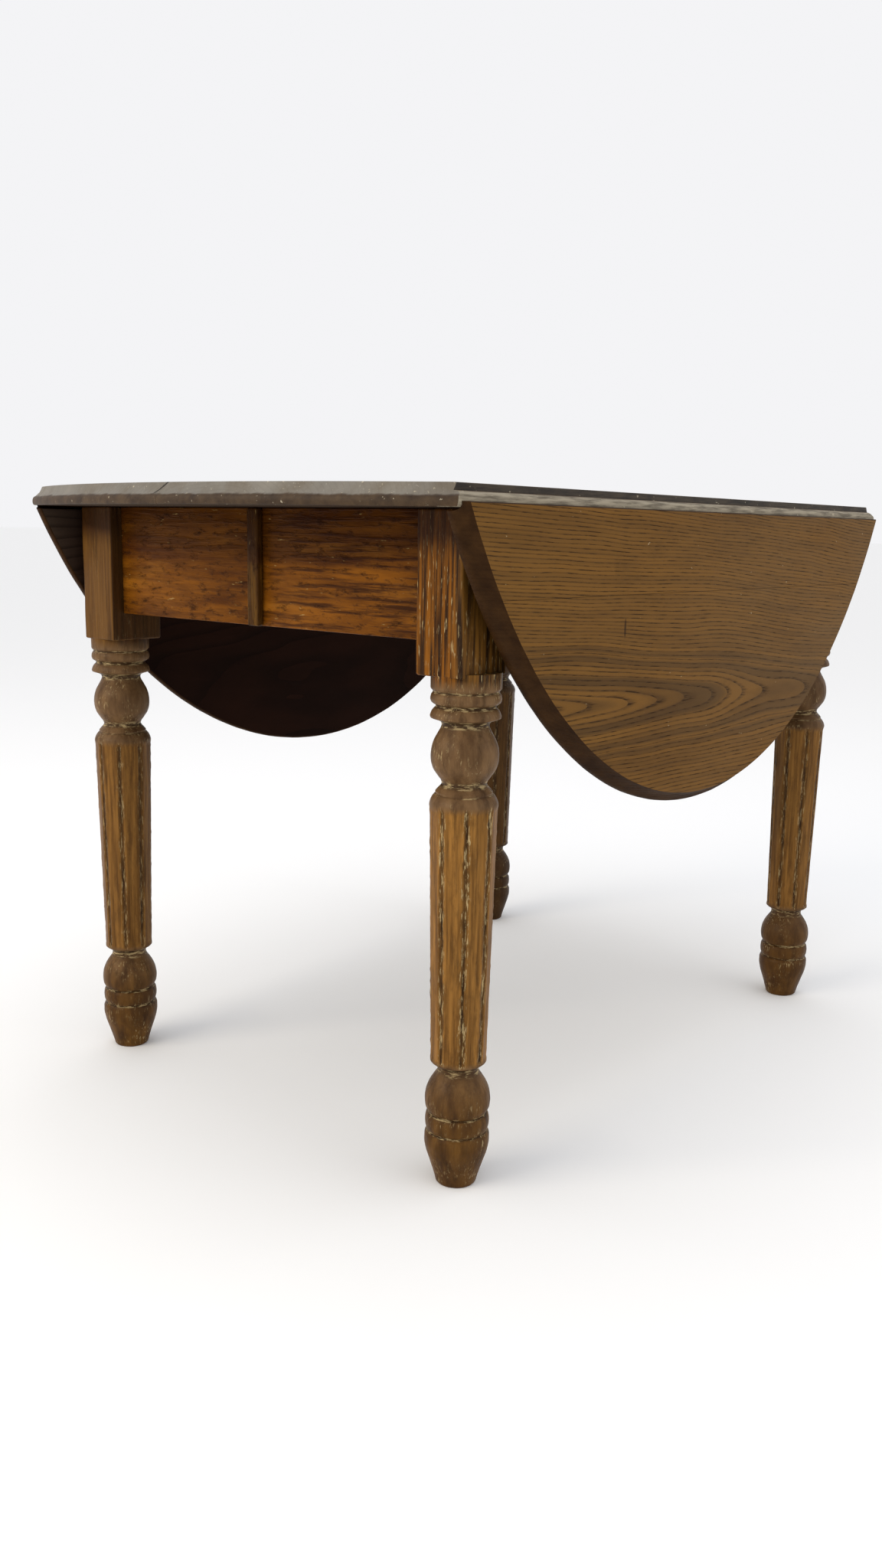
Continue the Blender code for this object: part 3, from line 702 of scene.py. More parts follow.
def screw_tree():
    """Geometry Nodes that set a slotted screw head on each given point, flush in its flap."""
    tree, given = begun_tree("flap_screws", Head_Radius="Float", Slot_Width="Float", Tilt="Float", Seed="Int")
    disc = add(
        tree, "GeometryNodeMeshCone", {"fill_type": "NGON"},
        {"Vertices": 20, "Radius Top": given["Head Radius"], "Radius Bottom": 0.0022, "Depth": 0.0014},
    )
    sunk, into_head = (0.0, 0.0, -0.00115), (0.0, 0.0, 0.00035)
    lowered = add(tree, "GeometryNodeTransform", None, {"Geometry": disc, "Translation": sunk})
    length = add(tree, MATHS, TIMES, {0: given["Head Radius"], 1: 2.4})
    size = add(tree, "ShaderNodeCombineXYZ", None, {"X": length, "Y": given["Slot Width"], "Z": 0.0012})
    slot = add(tree, "GeometryNodeMeshCube", None, {"Size": size})
    raised = add(tree, "GeometryNodeTransform", None, {"Geometry": slot, "Translation": into_head})
    cutting = {"operation": "DIFFERENCE", "solver": "EXACT"}
    head = add(tree, "GeometryNodeMeshBoolean", cutting, {"Mesh 1": lowered, "Mesh 2": raised})
    spin = add(
        tree, "FunctionNodeRandomValue", {"data_type": "FLOAT_VECTOR"},
        {"Min": (0.0, 0.0, 0.0), "Max": (0.0, 0.0, math.pi), "Seed": given["Seed"]},
    )
    lean = add(tree, "ShaderNodeCombineXYZ", None, {"X": given["Tilt"]})
    placed = add(
        tree, "GeometryNodeInstanceOnPoints", None,
        {"Points": given["Geometry"], "Instance": head.outputs["Mesh"], "Rotation": lean},
    )
    turned = add(
        tree, "GeometryNodeRotateInstances", None,
        {"Instances": placed, "Rotation": spin, "Local Space": True},
    )
    return ended_tree(tree, turned, given["Material"])


def screws(name, points, tilt, tree, material, seed):
    mesh = bpy.data.meshes.new(name)
    mesh.from_pydata(points, [], [])
    values = {"Head Radius": SCREW_HEAD, "Slot Width": SCREW_SLOT, "Tilt": tilt, "Seed": seed}
    values["Material"] = material
    return shade(grown(name, mesh, tree, values), 30)


# ---------------------------------------------------------------- finishes


def finish_of(name, roughness_typical, **constants):
    material = bpy.data.materials.new(name)
    material.use_nodes = True
    tree = material.node_tree
    tree.nodes.clear()
    shader = add(tree, "ShaderNodeBsdfPrincipled", None, {"Roughness": roughness_typical})
    for label, value in constants.items():
        shader.inputs[label.replace("_", " ")].default_value = value
    add(tree, "ShaderNodeOutputMaterial", None, {"Surface": shader})
    return material, tree, shader


def object_axes(tree, output="Object"):
    """X, Y and Z of a piece as it was built, before any pose."""
    coords = add(tree, "ShaderNodeTexCoord").outputs[output]
    return add(tree, "ShaderNodeSeparateXYZ", None, {0: coords}).outputs


def grain_place(tree, order, pith=(0.0, 0.0, 0.0), tilt=(0.0, 0.0, 0.0), both_sides=False):
    """Object coordinates turned so that the grain runs along X and the pith is the X axis.

    With both_sides the board at +Y has the same grain as the one at -Y.
    """
    axes = object_axes(tree)
    along = {axis: axes[axis] for axis in "XYZ"}
    if both_sides:
        along["Y"] = add(tree, MATHS, {"operation": "ABSOLUTE"}, {0: axes["Y"]})
    turned = add(tree, "ShaderNodeCombineXYZ", None, {i: along[axis] for i, axis in enumerate(order)})
    rotation = Euler(tilt).to_matrix()
    shift = -(rotation @ Vector(pith))
    return add(tree, "ShaderNodeMapping", None, {"Vector": turned, "Location": shift, "Rotation": tilt})


def streaks(tree, place, along, across, detail=3.0, roughness=0.55, seed=0.0, low=0.35, high=0.65):
    """Noise drawn out along the grain; along and across are features per metre."""
    drawn = add(tree, "ShaderNodeMapping", None, {"Vector": place, "Scale": (along, across, across)})
    cloud = add(
        tree, "ShaderNodeTexNoise", {"noise_dimensions": "4D"},
        {"Vector": drawn, "W": seed, "Scale": 1.0, "Detail": detail, "Roughness": roughness},
    )
    return add(tree, RANGE, None, {"Value": cloud.outputs[0], "From Min": low, "From Max": high})


def growth_rings(tree, place, spacing, waver, seed=0.0):
    """Distance from the pith counted in rings, with the wander of real growth."""
    parts = add(tree, "ShaderNodeSeparateXYZ", None, {0: place})
    section = add(tree, "ShaderNodeCombineXYZ", None, {"Y": parts.outputs["Y"], "Z": parts.outputs["Z"]})
    distance = add(tree, "ShaderNodeVectorMath", {"operation": "LENGTH"}, {0: section}).outputs["Value"]
    drawn = add(tree, "ShaderNodeMapping", None, {"Vector": place, "Scale": (2.4, 7.0, 7.0)})
    wander = add(
        tree, "ShaderNodeTexNoise", {"noise_dimensions": "4D"},
        {"Vector": drawn, "W": seed, "Scale": 1.0, "Detail": 2.5, "Roughness": 0.5},
    )
    off = add(tree, MATHS, {"operation": "MULTIPLY_ADD"}, {0: wander.outputs[0], 1: waver, 2: distance})
    return add(tree, MATHS, {"operation": "DIVIDE"}, {0: off, 1: spacing})


def coat(tree, factor, under, over, share=1.0):
    """Lays one colour over another where factor is high, at most by share. Hex or linked colours."""
    if share < 1.0:
        factor = add(tree, MATHS, TIMES, {0: factor, 1: share})
    first, second = (linear(colour) if isinstance(colour, str) else colour for colour in (under, over))
    settings = {"data_type": "RGBA", "clamp_factor": True}
    return add(tree, "ShaderNodeMix", settings, {"Factor": factor, 6: first, 7: second}).outputs[2]


def part_of_ring(tree, count, low, high):
    """How far each growth ring has gone from low to high, which are shares of its width."""
    ring = add(tree, MATHS, {"operation": "FRACT"}, {0: count})
    return add(tree, RANGE, SMOOTH, {"Value": ring, "From Min": low, "From Max": high})


def surfaced(tree, shader, colour, relief, strength, distance, rough=None, **bump_settings):
    """Gives the shader its colour and relief, and roughness where it is a factor with low and high."""
    tree.links.new(colour, shader.inputs["Base Color"])
    sockets = {"Strength": strength, "Distance": distance, "Height": relief}
    tree.links.new(add(tree, "ShaderNodeBump", bump_settings, sockets).outputs[0], shader.inputs["Normal"])
    if rough:
        factor, low, high = rough
        gloss = add(tree, RANGE, None, {"Value": factor, "To Min": low, "To Max": high})
        tree.links.new(gloss.outputs[0], shader.inputs["Roughness"])


def leaf_ash():
    """Ash board, flat sawn, stripped to bare wood and gone brown: open grain in long dark dashes."""
    material, tree, shader = finish_of("stripped_ash_leaf", 0.6, Specular_IOR_Level=0.05)
    lie = (0.0, math.radians(-2.6), math.radians(-3.2))
    place = grain_place(tree, "XYZ", (-0.50, 0.352, 0.532), lie, both_sides=True)
    count = growth_rings(tree, place, 0.0042, 0.034, 1.7)
    early = part_of_ring(tree, count, 0.42, 0.0)
    # Near the pith line the saw runs flat through the rings and opens them into tongues
    heart = add(tree, RANGE, SMOOTH, {"Value": count, "From Min": 26.0, "From Max": 11.0})
    slow = add(tree, MATHS, TIMES, {0: count, 1: 0.42})
    bands = add(
        tree, "ShaderNodeTexNoise", {"noise_dimensions": "1D"},
        {"W": slow, "Scale": 1.0, "Detail": 1.0},
    )
    band = add(tree, RANGE, SMOOTH, {"Value": bands.outputs[0], "From Min": 0.40, "From Max": 0.60})
    band_share = add(tree, RANGE, None, {"Value": heart, "To Min": 0.30, "To Max": 1.0})
    banded = add(tree, MATHS, TIMES, {0: band, 1: band_share})
    colour = coat(tree, banded, "#6f4c1d", "#513818")
    colour = coat(tree, early, colour, "#3a240b", 0.50)
    pores = streaks(tree, place, 36.0, 480.0, 3.0, 0.66, 3.0, 0.47, 0.60)
    dashes = add(tree, MATHS, TIMES, {0: pores, 1: early})
    colour = coat(tree, dashes, colour, "#1f1206")
    parts = object_axes(tree)
    bleached = add(
        tree, RANGE, None,
        {"Value": parts["X"], "From Min": -0.15, "From Max": 0.50, "To Min": 0.05, "To Max": 0.50},
    )
    cloud = streaks(tree, place, 2.2, 5.5, 4.0, 0.6, 8.0, 0.30, 0.66)
    veil = add(tree, MATHS, TIMES, {0: cloud, 1: bleached})
    colour = coat(tree, veil, colour, "#67563f")
    stain = streaks(tree, place, 9.0, 14.0, 5.0, 0.65, 21.0, 0.60, 0.78)
    colour = coat(tree, stain, colour, "#2c1d0c", 0.35)
    flecks = streaks(tree, place, 160.0, 210.0, 2.0, 0.5, 33.0, 0.735, 0.76)
    colour = coat(tree, flecks, colour, "#b5a07c", 0.6)
    smear = streaks(tree, place, 5.0, 34.0, 5.0, 0.66, 36.0, 0.46, 0.68)
    colour = coat(tree, smear, colour, "#35210c", 0.30)
    spot = {"Location": [-c / h for c, h in zip(PLUG_CENTRE, PLUG_HALF)], "Scale": [1 / h for h in PLUG_HALF]}
    coords = add(tree, "ShaderNodeTexCoord").outputs["Object"]
    slot = add(tree, "ShaderNodeMapping", None, {"Vector": coords, **spot})
    reach = add(tree, "ShaderNodeVectorMath", {"operation": "LENGTH"}, {0: slot}).outputs["Value"]
    plug = add(tree, RANGE, None, {"Value": reach, "From Min": 1.35, "From Max": 0.85, "To Max": 0.75})
    colour = coat(tree, plug, colour, "#241608")
    rim = add(tree, "ShaderNodeAttribute", {"attribute_name": "rim"}).outputs["Fac"]
    rubbed = streaks(tree, place, 18.0, 60.0, 4.0, 0.6, 5.0, 0.35, 0.66)
    edge = coat(tree, rubbed, "#281708", "#39240f")
    colour = coat(tree, rim, colour, edge)
    relief = add(tree, MATHS, {"operation": "MULTIPLY_ADD"}, {0: early, 1: 0.4, 2: dashes})
    surfaced(tree, shader, colour, relief, 0.6, 0.0005, (dashes, 0.52, 0.75), invert=True)
    return material


def grimy_underside():
    """The hidden side of top and leaves: never finished, black-brown with old dust and damp."""
    material, tree, shader = finish_of("grimy_underside", 0.85, Specular_IOR_Level=0.06)
    place = grain_place(tree, "XYZ", (0.3, -0.2, 0.45), (0.0, math.radians(1.5), math.radians(-1.0)))
    count = growth_rings(tree, place, 0.0055, 0.03, 9.0)
    early = part_of_ring(tree, count, 0.5, 0.0)
    damp = streaks(tree, place, 3.0, 9.0, 5.0, 0.62, 5.0, 0.38, 0.64)
    colour = coat(tree, damp, "#24120a", "#180b06")
    # Toward the ends, past the legs, dust and light have greyed it
    parts = object_axes(tree)
    outward = add(tree, MATHS, {"operation": "ABSOLUTE"}, {0: parts["X"]})
    dusty = add(tree, RANGE, SMOOTH, {"Value": outward, "From Min": 0.40, "From Max": 0.52, "To Max": 0.75})
    colour = coat(tree, dusty, colour, coat(tree, damp, "#54483c", "#3b3027"))
    colour = coat(tree, early, colour, "#0f0704", 0.5)
    surfaced(tree, shader, colour, early, 0.5, 0.0005, invert=True)
    return material


def top_ash():
    """Ash top, bare and silvered by weather: grey on the raised parts, brown in the hollows."""
    material, tree, shader = finish_of("silvered_ash_top", 0.6, Specular_IOR_Level=0.25)
    place = grain_place(tree, "XYZ", (0.2, -0.10, 0.60), (0.0, math.radians(1.0), math.radians(1.5)))
    count = growth_rings(tree, place, 0.0045, 0.026, 4.0)
    early = part_of_ring(tree, count, 0.40, 0.0)
    rim = add(tree, "ShaderNodeAttribute", {"attribute_name": "rim"}).outputs["Fac"]
    worn = streaks(tree, place, 3.0, 9.0, 5.0, 0.62, 2.0, 0.40, 0.60)
    colour = coat(tree, worn, "#706b62", "#7f796e")
    brown = streaks(tree, place, 5.0, 22.0, 4.0, 0.6, 12.0, 0.48, 0.66)
    colour = coat(tree, brown, colour, "#574935", 0.5)
    # The upper face is less weathered than the edge, and nearer the brown of the leaves
    upper = add(tree, RANGE, None, {"Value": rim, "To Min": 0.60, "To Max": 0.0})
    colour = coat(tree, upper, colour, "#6b5032")
    grain_share = add(tree, RANGE, None, {"Value": rim, "To Min": 0.45, "To Max": 0.08})
    lines = add(tree, MATHS, TIMES, {0: early, 1: grain_share})
    colour = coat(tree, lines, colour, "#3a3228")
    pores = streaks(tree, place, 55.0, 600.0, 2.0, 0.6, 7.0, 0.52, 0.68)
    dashes = add(tree, MATHS, TIMES, {0: pores, 1: lines})
    colour = coat(tree, dashes, colour, "#221a12")
    scratch = streaks(tree, place, 12.0, 420.0, 3.0, 0.5, 31.0, 0.64, 0.72)
    colour = coat(tree, scratch, colour, "#a39d90", 0.5)
    parts = object_axes(tree)
    # Wander of the dirty line under the moulding
    ragged = streaks(tree, place, 40.0, 60.0, 4.0, 0.6, 15.0, 0.2, 0.8)
    line = add(tree, MATHS, {"operation": "MULTIPLY_ADD"}, {0: ragged, 1: 0.0035, 2: parts["Z"]})
    bead = add(
        tree, RANGE, SMOOTH,
        {"Value": line, "From Min": UNDERSIDE + 0.0138, "From Max": UNDERSIDE + 0.0115},
    )
    rubbed = streaks(tree, place, 30.0, 60.0, 4.0, 0.6, 5.0, 0.35, 0.66)
    edge = coat(tree, rubbed, "#2c1c0b", "#493722")
    colour = coat(tree, bead, colour, edge)
    # The rule joint: a dark fillet over a pale quarter round, the pale being painted highlight with rub wear
    # from the leaf
    side = add(tree, MATHS, {"operation": "ABSOLUTE"}, {0: parts["Y"]})
    at_joint = add(tree, MATHS, {"operation": "GREATER_THAN"}, {0: side, 1: PIN_Y - RULE_RADIUS - 0.001})
    facing = object_axes(tree, "Normal")
    sideways = add(tree, MATHS, {"operation": "ABSOLUTE"}, {0: facing["X"]})
    lengthwise = add(tree, RANGE, None, {"Value": sideways, "From Min": 0.45, "From Max": 0.20})
    long_joint = add(tree, MATHS, TIMES, {0: at_joint, 1: lengthwise})
    on_edge = add(tree, MATHS, TIMES, {0: long_joint, 1: rim})
    over_round = add(tree, MATHS, {"operation": "GREATER_THAN"}, {0: parts["Z"], 1: PIN_Z + RULE_RADIUS})
    joint_mottle = streaks(tree, place, 25.0, 260.0, 4.0, 0.62, 51.0, 0.38, 0.60)
    highlit_rubbed_round = coat(tree, joint_mottle, "#5b5140", "#948974")
    joint = coat(tree, over_round, highlit_rubbed_round, coat(tree, joint_mottle, "#1f1810", "#3c3225"))
    colour = coat(tree, on_edge, colour, joint)
    # The joint of the two boards has opened at the ends, and runs off along the grain there
    split = add(tree, MATHS, {"operation": "MULTIPLY_ADD"}, {0: parts["Z"], 1: 1.3, 2: parts["Y"]})
    stray = add(tree, MATHS, {"operation": "MULTIPLY_ADD"}, {0: ragged, 1: 0.004, 2: split})
    away = add(tree, MATHS, {"operation": "SUBTRACT"}, {0: stray, 1: 1.3 * (TABLE_HEIGHT - 0.006) + 0.002})
    off = add(tree, MATHS, {"operation": "ABSOLUTE"}, {0: away})
    crack = add(tree, RANGE, None, {"Value": off, "From Min": 0.0022, "From Max": 0.0008})
    on_slope = add(tree, MATHS, {"operation": "SUBTRACT"}, {0: rim, 1: bead})
    cracked = add(tree, MATHS, TIMES, {0: crack, 1: on_slope})
    colour = coat(tree, cracked, colour, "#1a120a")
    chips = streaks(tree, place, 120.0, 200.0, 3.0, 0.6, 41.0, 0.66, 0.70)
    chipped = add(tree, MATHS, TIMES, {0: chips, 1: rim})
    colour = coat(tree, chipped, colour, "#b3a88f", 0.7)
    relief = add(tree, MATHS, {"operation": "MULTIPLY_ADD"}, {0: early, 1: 0.4, 2: dashes})
    surfaced(tree, shader, colour, relief, 0.4, 0.0005, invert=True)
    return material


def leg_wood():
    """Turned leg, part stripped: golden reeds, grey-brown turnings, cream paint left in the cuts."""
    material, tree, shader = finish_of("part_stripped_turned_leg", 0.55, Specular_IOR_Level=0.08)
    place = grain_place(tree, "ZXY")
    coords = object_axes(tree)
    shaft = add(tree, "ShaderNodeAttribute", {"attribute_name": "shaft"}).outputs["Fac"]
    groove = add(tree, "ShaderNodeAttribute", {"attribute_name": "groove"}).outputs["Fac"]
    height = coords["Z"]
    grain = streaks(tree, place, 9.0, 260.0, 4.0, 0.6, 1.0, 0.36, 0.66)
    reed = coat(tree, grain, "#8f642d", "#583914")
    grime = streaks(tree, place, 32.0, 130.0, 5.0, 0.70, 16.0, 0.50, 0.66)
    reed = coat(tree, grime, reed, "#4a2f12", 0.55)
    turning = streaks(tree, place, 22.0, 75.0, 4.0, 0.55, 2.0, 0.36, 0.68)
    turned = coat(tree, turning, "#6e5336", "#4b3520")
    low = add(tree, RANGE, SMOOTH, {"Value": height, "From Min": 0.165, "From Max": 0.070})
    turned = coat(tree, low, turned, coat(tree, turning, "#5f4019", "#38220d"))
    colour = coat(tree, shaft, turned, reed)
    # Squared block: streaky amber toward the stripped corner, plain brown at the far one
    amber_streaks = streaks(tree, place, 6.0, 190.0, 4.0, 0.62, 6.0, 0.42, 0.58)
    amber = coat(tree, amber_streaks, "#7c4a0c", "#2a1604")
    olive = coat(tree, amber_streaks, "#6e4a1c", "#28180a")
    outer = add(tree, RANGE, None, {"Value": coords["Y"], "From Min": -0.300, "From Max": -0.312})
    amber = coat(tree, outer, amber, olive)
    plain = coat(tree, grain, "#67461c", "#4e3110")
    near_side = add(tree, RANGE, None, {"Value": coords["Y"], "From Min": 0.10, "From Max": -0.10})
    squared = coat(tree, near_side, plain, amber)
    # Painted shade of the overhanging top on the block's upper end
    shaded = add(
        tree, RANGE, SMOOTH,
        {"Value": height, "From Min": BLOCK_DARK_FROM, "From Max": BLOCK_DARK_TO, "To Max": 0.78},
    )
    squared = coat(tree, shaded, squared, "#2a1206")
    # Faces turned to the middle of the frame: painted shade, over the darker old finish left on them
    facing = object_axes(tree, "Normal")
    side = add(tree, MATHS, {"operation": "SIGN"}, {0: coords["Y"]})
    inward = add(tree, MATHS, TIMES, {0: facing["Y"], 1: side})
    inner_face_shade_and_finish = add(tree, RANGE, None, {"Value": inward, "From Min": -0.6, "From Max": -0.85, "To Max": 0.80})
    squared = coat(tree, inner_face_shade_and_finish, squared, coat(tree, amber_streaks, "#38220f", "#1e1107"))
    block = add(
        tree, RANGE, None,
        {"Value": height, "From Min": BLOCK_BOTTOM - 0.012, "From Max": BLOCK_BOTTOM - 0.002},
    )
    colour = coat(tree, block, colour, squared)
    dark = streaks(tree, place, 14.0, 90.0, 5.0, 0.65, 9.0, 0.52, 0.70)
    colour = coat(tree, dark, colour, "#2a1a0a", 0.6)
    in_groove = add(tree, RANGE, None, {"Value": groove, "From Min": 0.05, "From Max": 0.80})
    silt = streaks(tree, place, 35.0, 200.0, 4.0, 0.6, 12.0, 0.36, 0.62)
    colour = coat(tree, in_groove, colour, coat(tree, silt, "#5e401b", "#221406"))
    crevice = add(tree, "ShaderNodeAttribute", {"attribute_name": "crevice"}).outputs["Fac"]
    colour = coat(tree, crevice, colour, "#25170a", 0.75)
    # The leg at +X, +Y stands in the table's shadow: painted shade darkens it
    right_end = add(tree, MATHS, {"operation": "GREATER_THAN"}, {0: coords["X"], 1: 0.2})
    back_side = add(tree, MATHS, {"operation": "GREATER_THAN"}, {0: coords["Y"], 1: 0.2})
    back_leg_shade = add(tree, MATHS, TIMES, {0: right_end, 1: back_side})
    colour = coat(tree, back_leg_shade, colour, "#241609", 0.6)
    # The other legs get less light than the one at -X, -Y: painted shade darkens their shafts, and the
    # turnings and blocks at +X
    plus_y = add(tree, MATHS, {"operation": "GREATER_THAN"}, {0: coords["Y"], 1: 0.0})
    others = add(tree, MATHS, {"operation": "MAXIMUM"}, {0: plus_y, 1: right_end})
    far_legs_shade = add(tree, MATHS, TIMES, {0: others, 1: shaft})
    colour = coat(tree, far_legs_shade, colour, "#3e2710", 0.28)
    far_end_shade = add(tree, MATHS, {"operation": "SUBTRACT"}, {0: right_end, 1: shaft})
    colour = coat(tree, far_end_shade, colour, "#3a240f", 0.35)
    # Cream paint left in grooves and cuts, drawn out along them
    flecks = streaks(tree, place, 62.0, 480.0, 4.0, 0.70, 14.0, 0.53, 0.61)
    in_cut = add(
        tree, RANGE, None,
        {"Value": groove, "From Min": 0.0, "From Max": 0.16, "To Min": 0.02, "To Max": 0.78},
    )
    specks = streaks(tree, place, 95.0, 430.0, 4.0, 0.68, 19.0, 0.56, 0.68)
    huddle = streaks(tree, place, 28.0, 32.0, 2.0, 0.5, 27.0, 0.47, 0.64)
    specks = add(tree, MATHS, TIMES, {0: specks, 1: huddle})
    rings = streaks(tree, place, 420.0, 95.0, 4.0, 0.66, 29.0, 0.50, 0.60)
    caught = add(tree, RANGE, None, {"Value": crevice, "From Min": 0.05, "From Max": 0.45, "To Max": 0.75})
    ringed = add(tree, MATHS, TIMES, {0: rings, 1: caught})
    specks = add(tree, MATHS, {"operation": "MAXIMUM"}, {0: specks, 1: ringed})
    collars = add(tree, MATHS, {"operation": "SUBTRACT"}, {0: 1.0, 1: shaft})
    collar_share = add(tree, MATHS, TIMES, {0: collars, 1: specks})
    off_block = add(tree, RANGE, None, {"Value": block, "To Min": 0.85, "To Max": 0.12})
    low_share = add(tree, MATHS, TIMES, {0: collar_share, 1: off_block})
    drawn = streaks(tree, place, 45.0, 480.0, 3.0, 0.6, 23.0, 0.60, 0.66)
    below_top = add(tree, RANGE, None, {"Value": shaded, "From Max": 0.6, "To Min": 0.8, "To Max": 0.15})
    on_near = add(tree, MATHS, TIMES, {0: block, 1: near_side})
    on_block = add(tree, MATHS, TIMES, {0: on_near, 1: below_top})
    drawn_share = add(tree, MATHS, TIMES, {0: drawn, 1: on_block})
    low_share = add(tree, MATHS, {"operation": "MAXIMUM"}, {0: low_share, 1: drawn_share})
    fewer = add(tree, RANGE, None, {"Value": others, "To Min": 1.0, "To Max": 0.55})
    in_grooves = add(tree, MATHS, TIMES, {0: flecks, 1: in_cut})
    cut_share = add(tree, MATHS, TIMES, {0: in_grooves, 1: fewer})
    paint = add(tree, MATHS, {"operation": "MAXIMUM"}, {0: cut_share, 1: low_share})
    colour = coat(tree, paint, colour, "#b9a274")
    relief = add(tree, MATHS, {"operation": "MULTIPLY_ADD"}, {0: grain, 1: -0.5, 2: paint})
    surfaced(tree, shader, colour, relief, 0.6, 0.0006, (dark, 0.40, 0.62))
    return material


def apron_varnish(name, order, light="#7a480d", deep="#4a2706"):
    """Old spirit varnish on pine, amber where thin and near black where it has crawled and crazed."""
    material, tree, shader = finish_of(name, 0.42, Specular_IOR_Level=0.05)
    place = grain_place(tree, order)
    coords = object_axes(tree)
    body = streaks(tree, place, 7.0, 45.0, 5.0, 0.62, 1.0, 0.38, 0.64)
    colour = coat(tree, body, light, deep)
    bright = streaks(tree, place, 6.0, 30.0, 5.0, 0.65, 26.0, 0.54, 0.70)
    colour = coat(tree, bright, colour, "#8f5c1c", 0.6)
    drag = streaks(tree, place, 11.0, 170.0, 4.0, 0.62, 4.0, 0.47, 0.60)
    near_side = add(
        tree, RANGE, None,
        {"Value": coords["Y"], "From Min": 0.06, "From Max": -0.06, "To Min": 0.35, "To Max": 0.85},
    )
    dragged = add(tree, MATHS, TIMES, {0: drag, 1: near_side})
    colour = coat(tree, dragged, colour, "#2a1204")
    crawl = streaks(tree, place, 55.0, 150.0, 5.0, 0.68, 11.0, 0.53, 0.66)
    colour = coat(tree, crawl, colour, "#221003", 0.75)
    # Painted shade of the overhanging top on the upper apron, over varnish there that is darker and less
    # faded
    overhang_shade_and_varnish = add(
        tree, RANGE, SMOOTH,
        {"Value": coords["Z"], "From Min": APRON_DARK_FROM, "From Max": APRON_DARK_TO},
    )
    colour = coat(tree, overhang_shade_and_varnish, colour, "#2c1005", 0.45)
    flecks = streaks(tree, place, 60.0, 300.0, 3.0, 0.6, 17.0, 0.67, 0.72)
    colour = coat(tree, flecks, colour, "#a58d58", 0.55)
    relief = add(tree, MATHS, {"operation": "ADD"}, {0: drag, 1: crawl})
    surfaced(tree, shader, colour, relief, 0.6, 0.0007, (crawl, 0.36, 0.60))
    return material


def raw_pine():
    """Sawn pine that was never finished, browned by age: dull, with soft straight grain."""
    material, tree, shader = finish_of("aged_sawn_pine", 0.8, Specular_IOR_Level=0.3)
    place = grain_place(tree, "YXZ", (0.1, 0.4, 0.3))
    count = growth_rings(tree, place, 0.0048, 0.012, 6.0)
    late = part_of_ring(tree, count, 0.45, 0.95)
    colour = coat(tree, late, "#6e4f30", "#4b3019")
    dirt = streaks(tree, place, 12.0, 24.0, 5.0, 0.65, 3.0, 0.40, 0.70)
    colour = coat(tree, dirt, colour, "#2f2013")
    saw = streaks(tree, place, 350.0, 60.0, 2.0, 0.5, 9.0, 0.3, 0.7)
    surfaced(tree, shader, colour, saw, 0.4, 0.0004)
    return material


def old_iron():
    """Pressed iron hinge gone brown: dark scale with a little rust, dull metal where it rubs."""
    material, tree, shader = finish_of("rusted_hinge_iron", 0.55, Metallic=0.85)
    coords = add(tree, "ShaderNodeTexCoord").outputs["Object"]
    cloud = add(tree, "ShaderNodeTexNoise", None, {"Vector": coords, "Scale": 420.0, "Detail": 4.0})
    rust = add(tree, RANGE, None, {"Value": cloud.outputs[0], "From Min": 0.45, "From Max": 0.62})
    colour = coat(tree, rust, "#5a5450", "#4c2f1d")
    surfaced(tree, shader, colour, cloud.outputs[0], 0.4, 0.0002, (rust, 0.38, 0.8))
    return material


# ---------------------------------------------------------------- the table


def square_piece(manner, node, wear, finish, body="frame"):
    """Dresses a worn copy of a square-edged node."""
    dress(softened(f"{manner}_{node}", node, wear), finish, body, node)


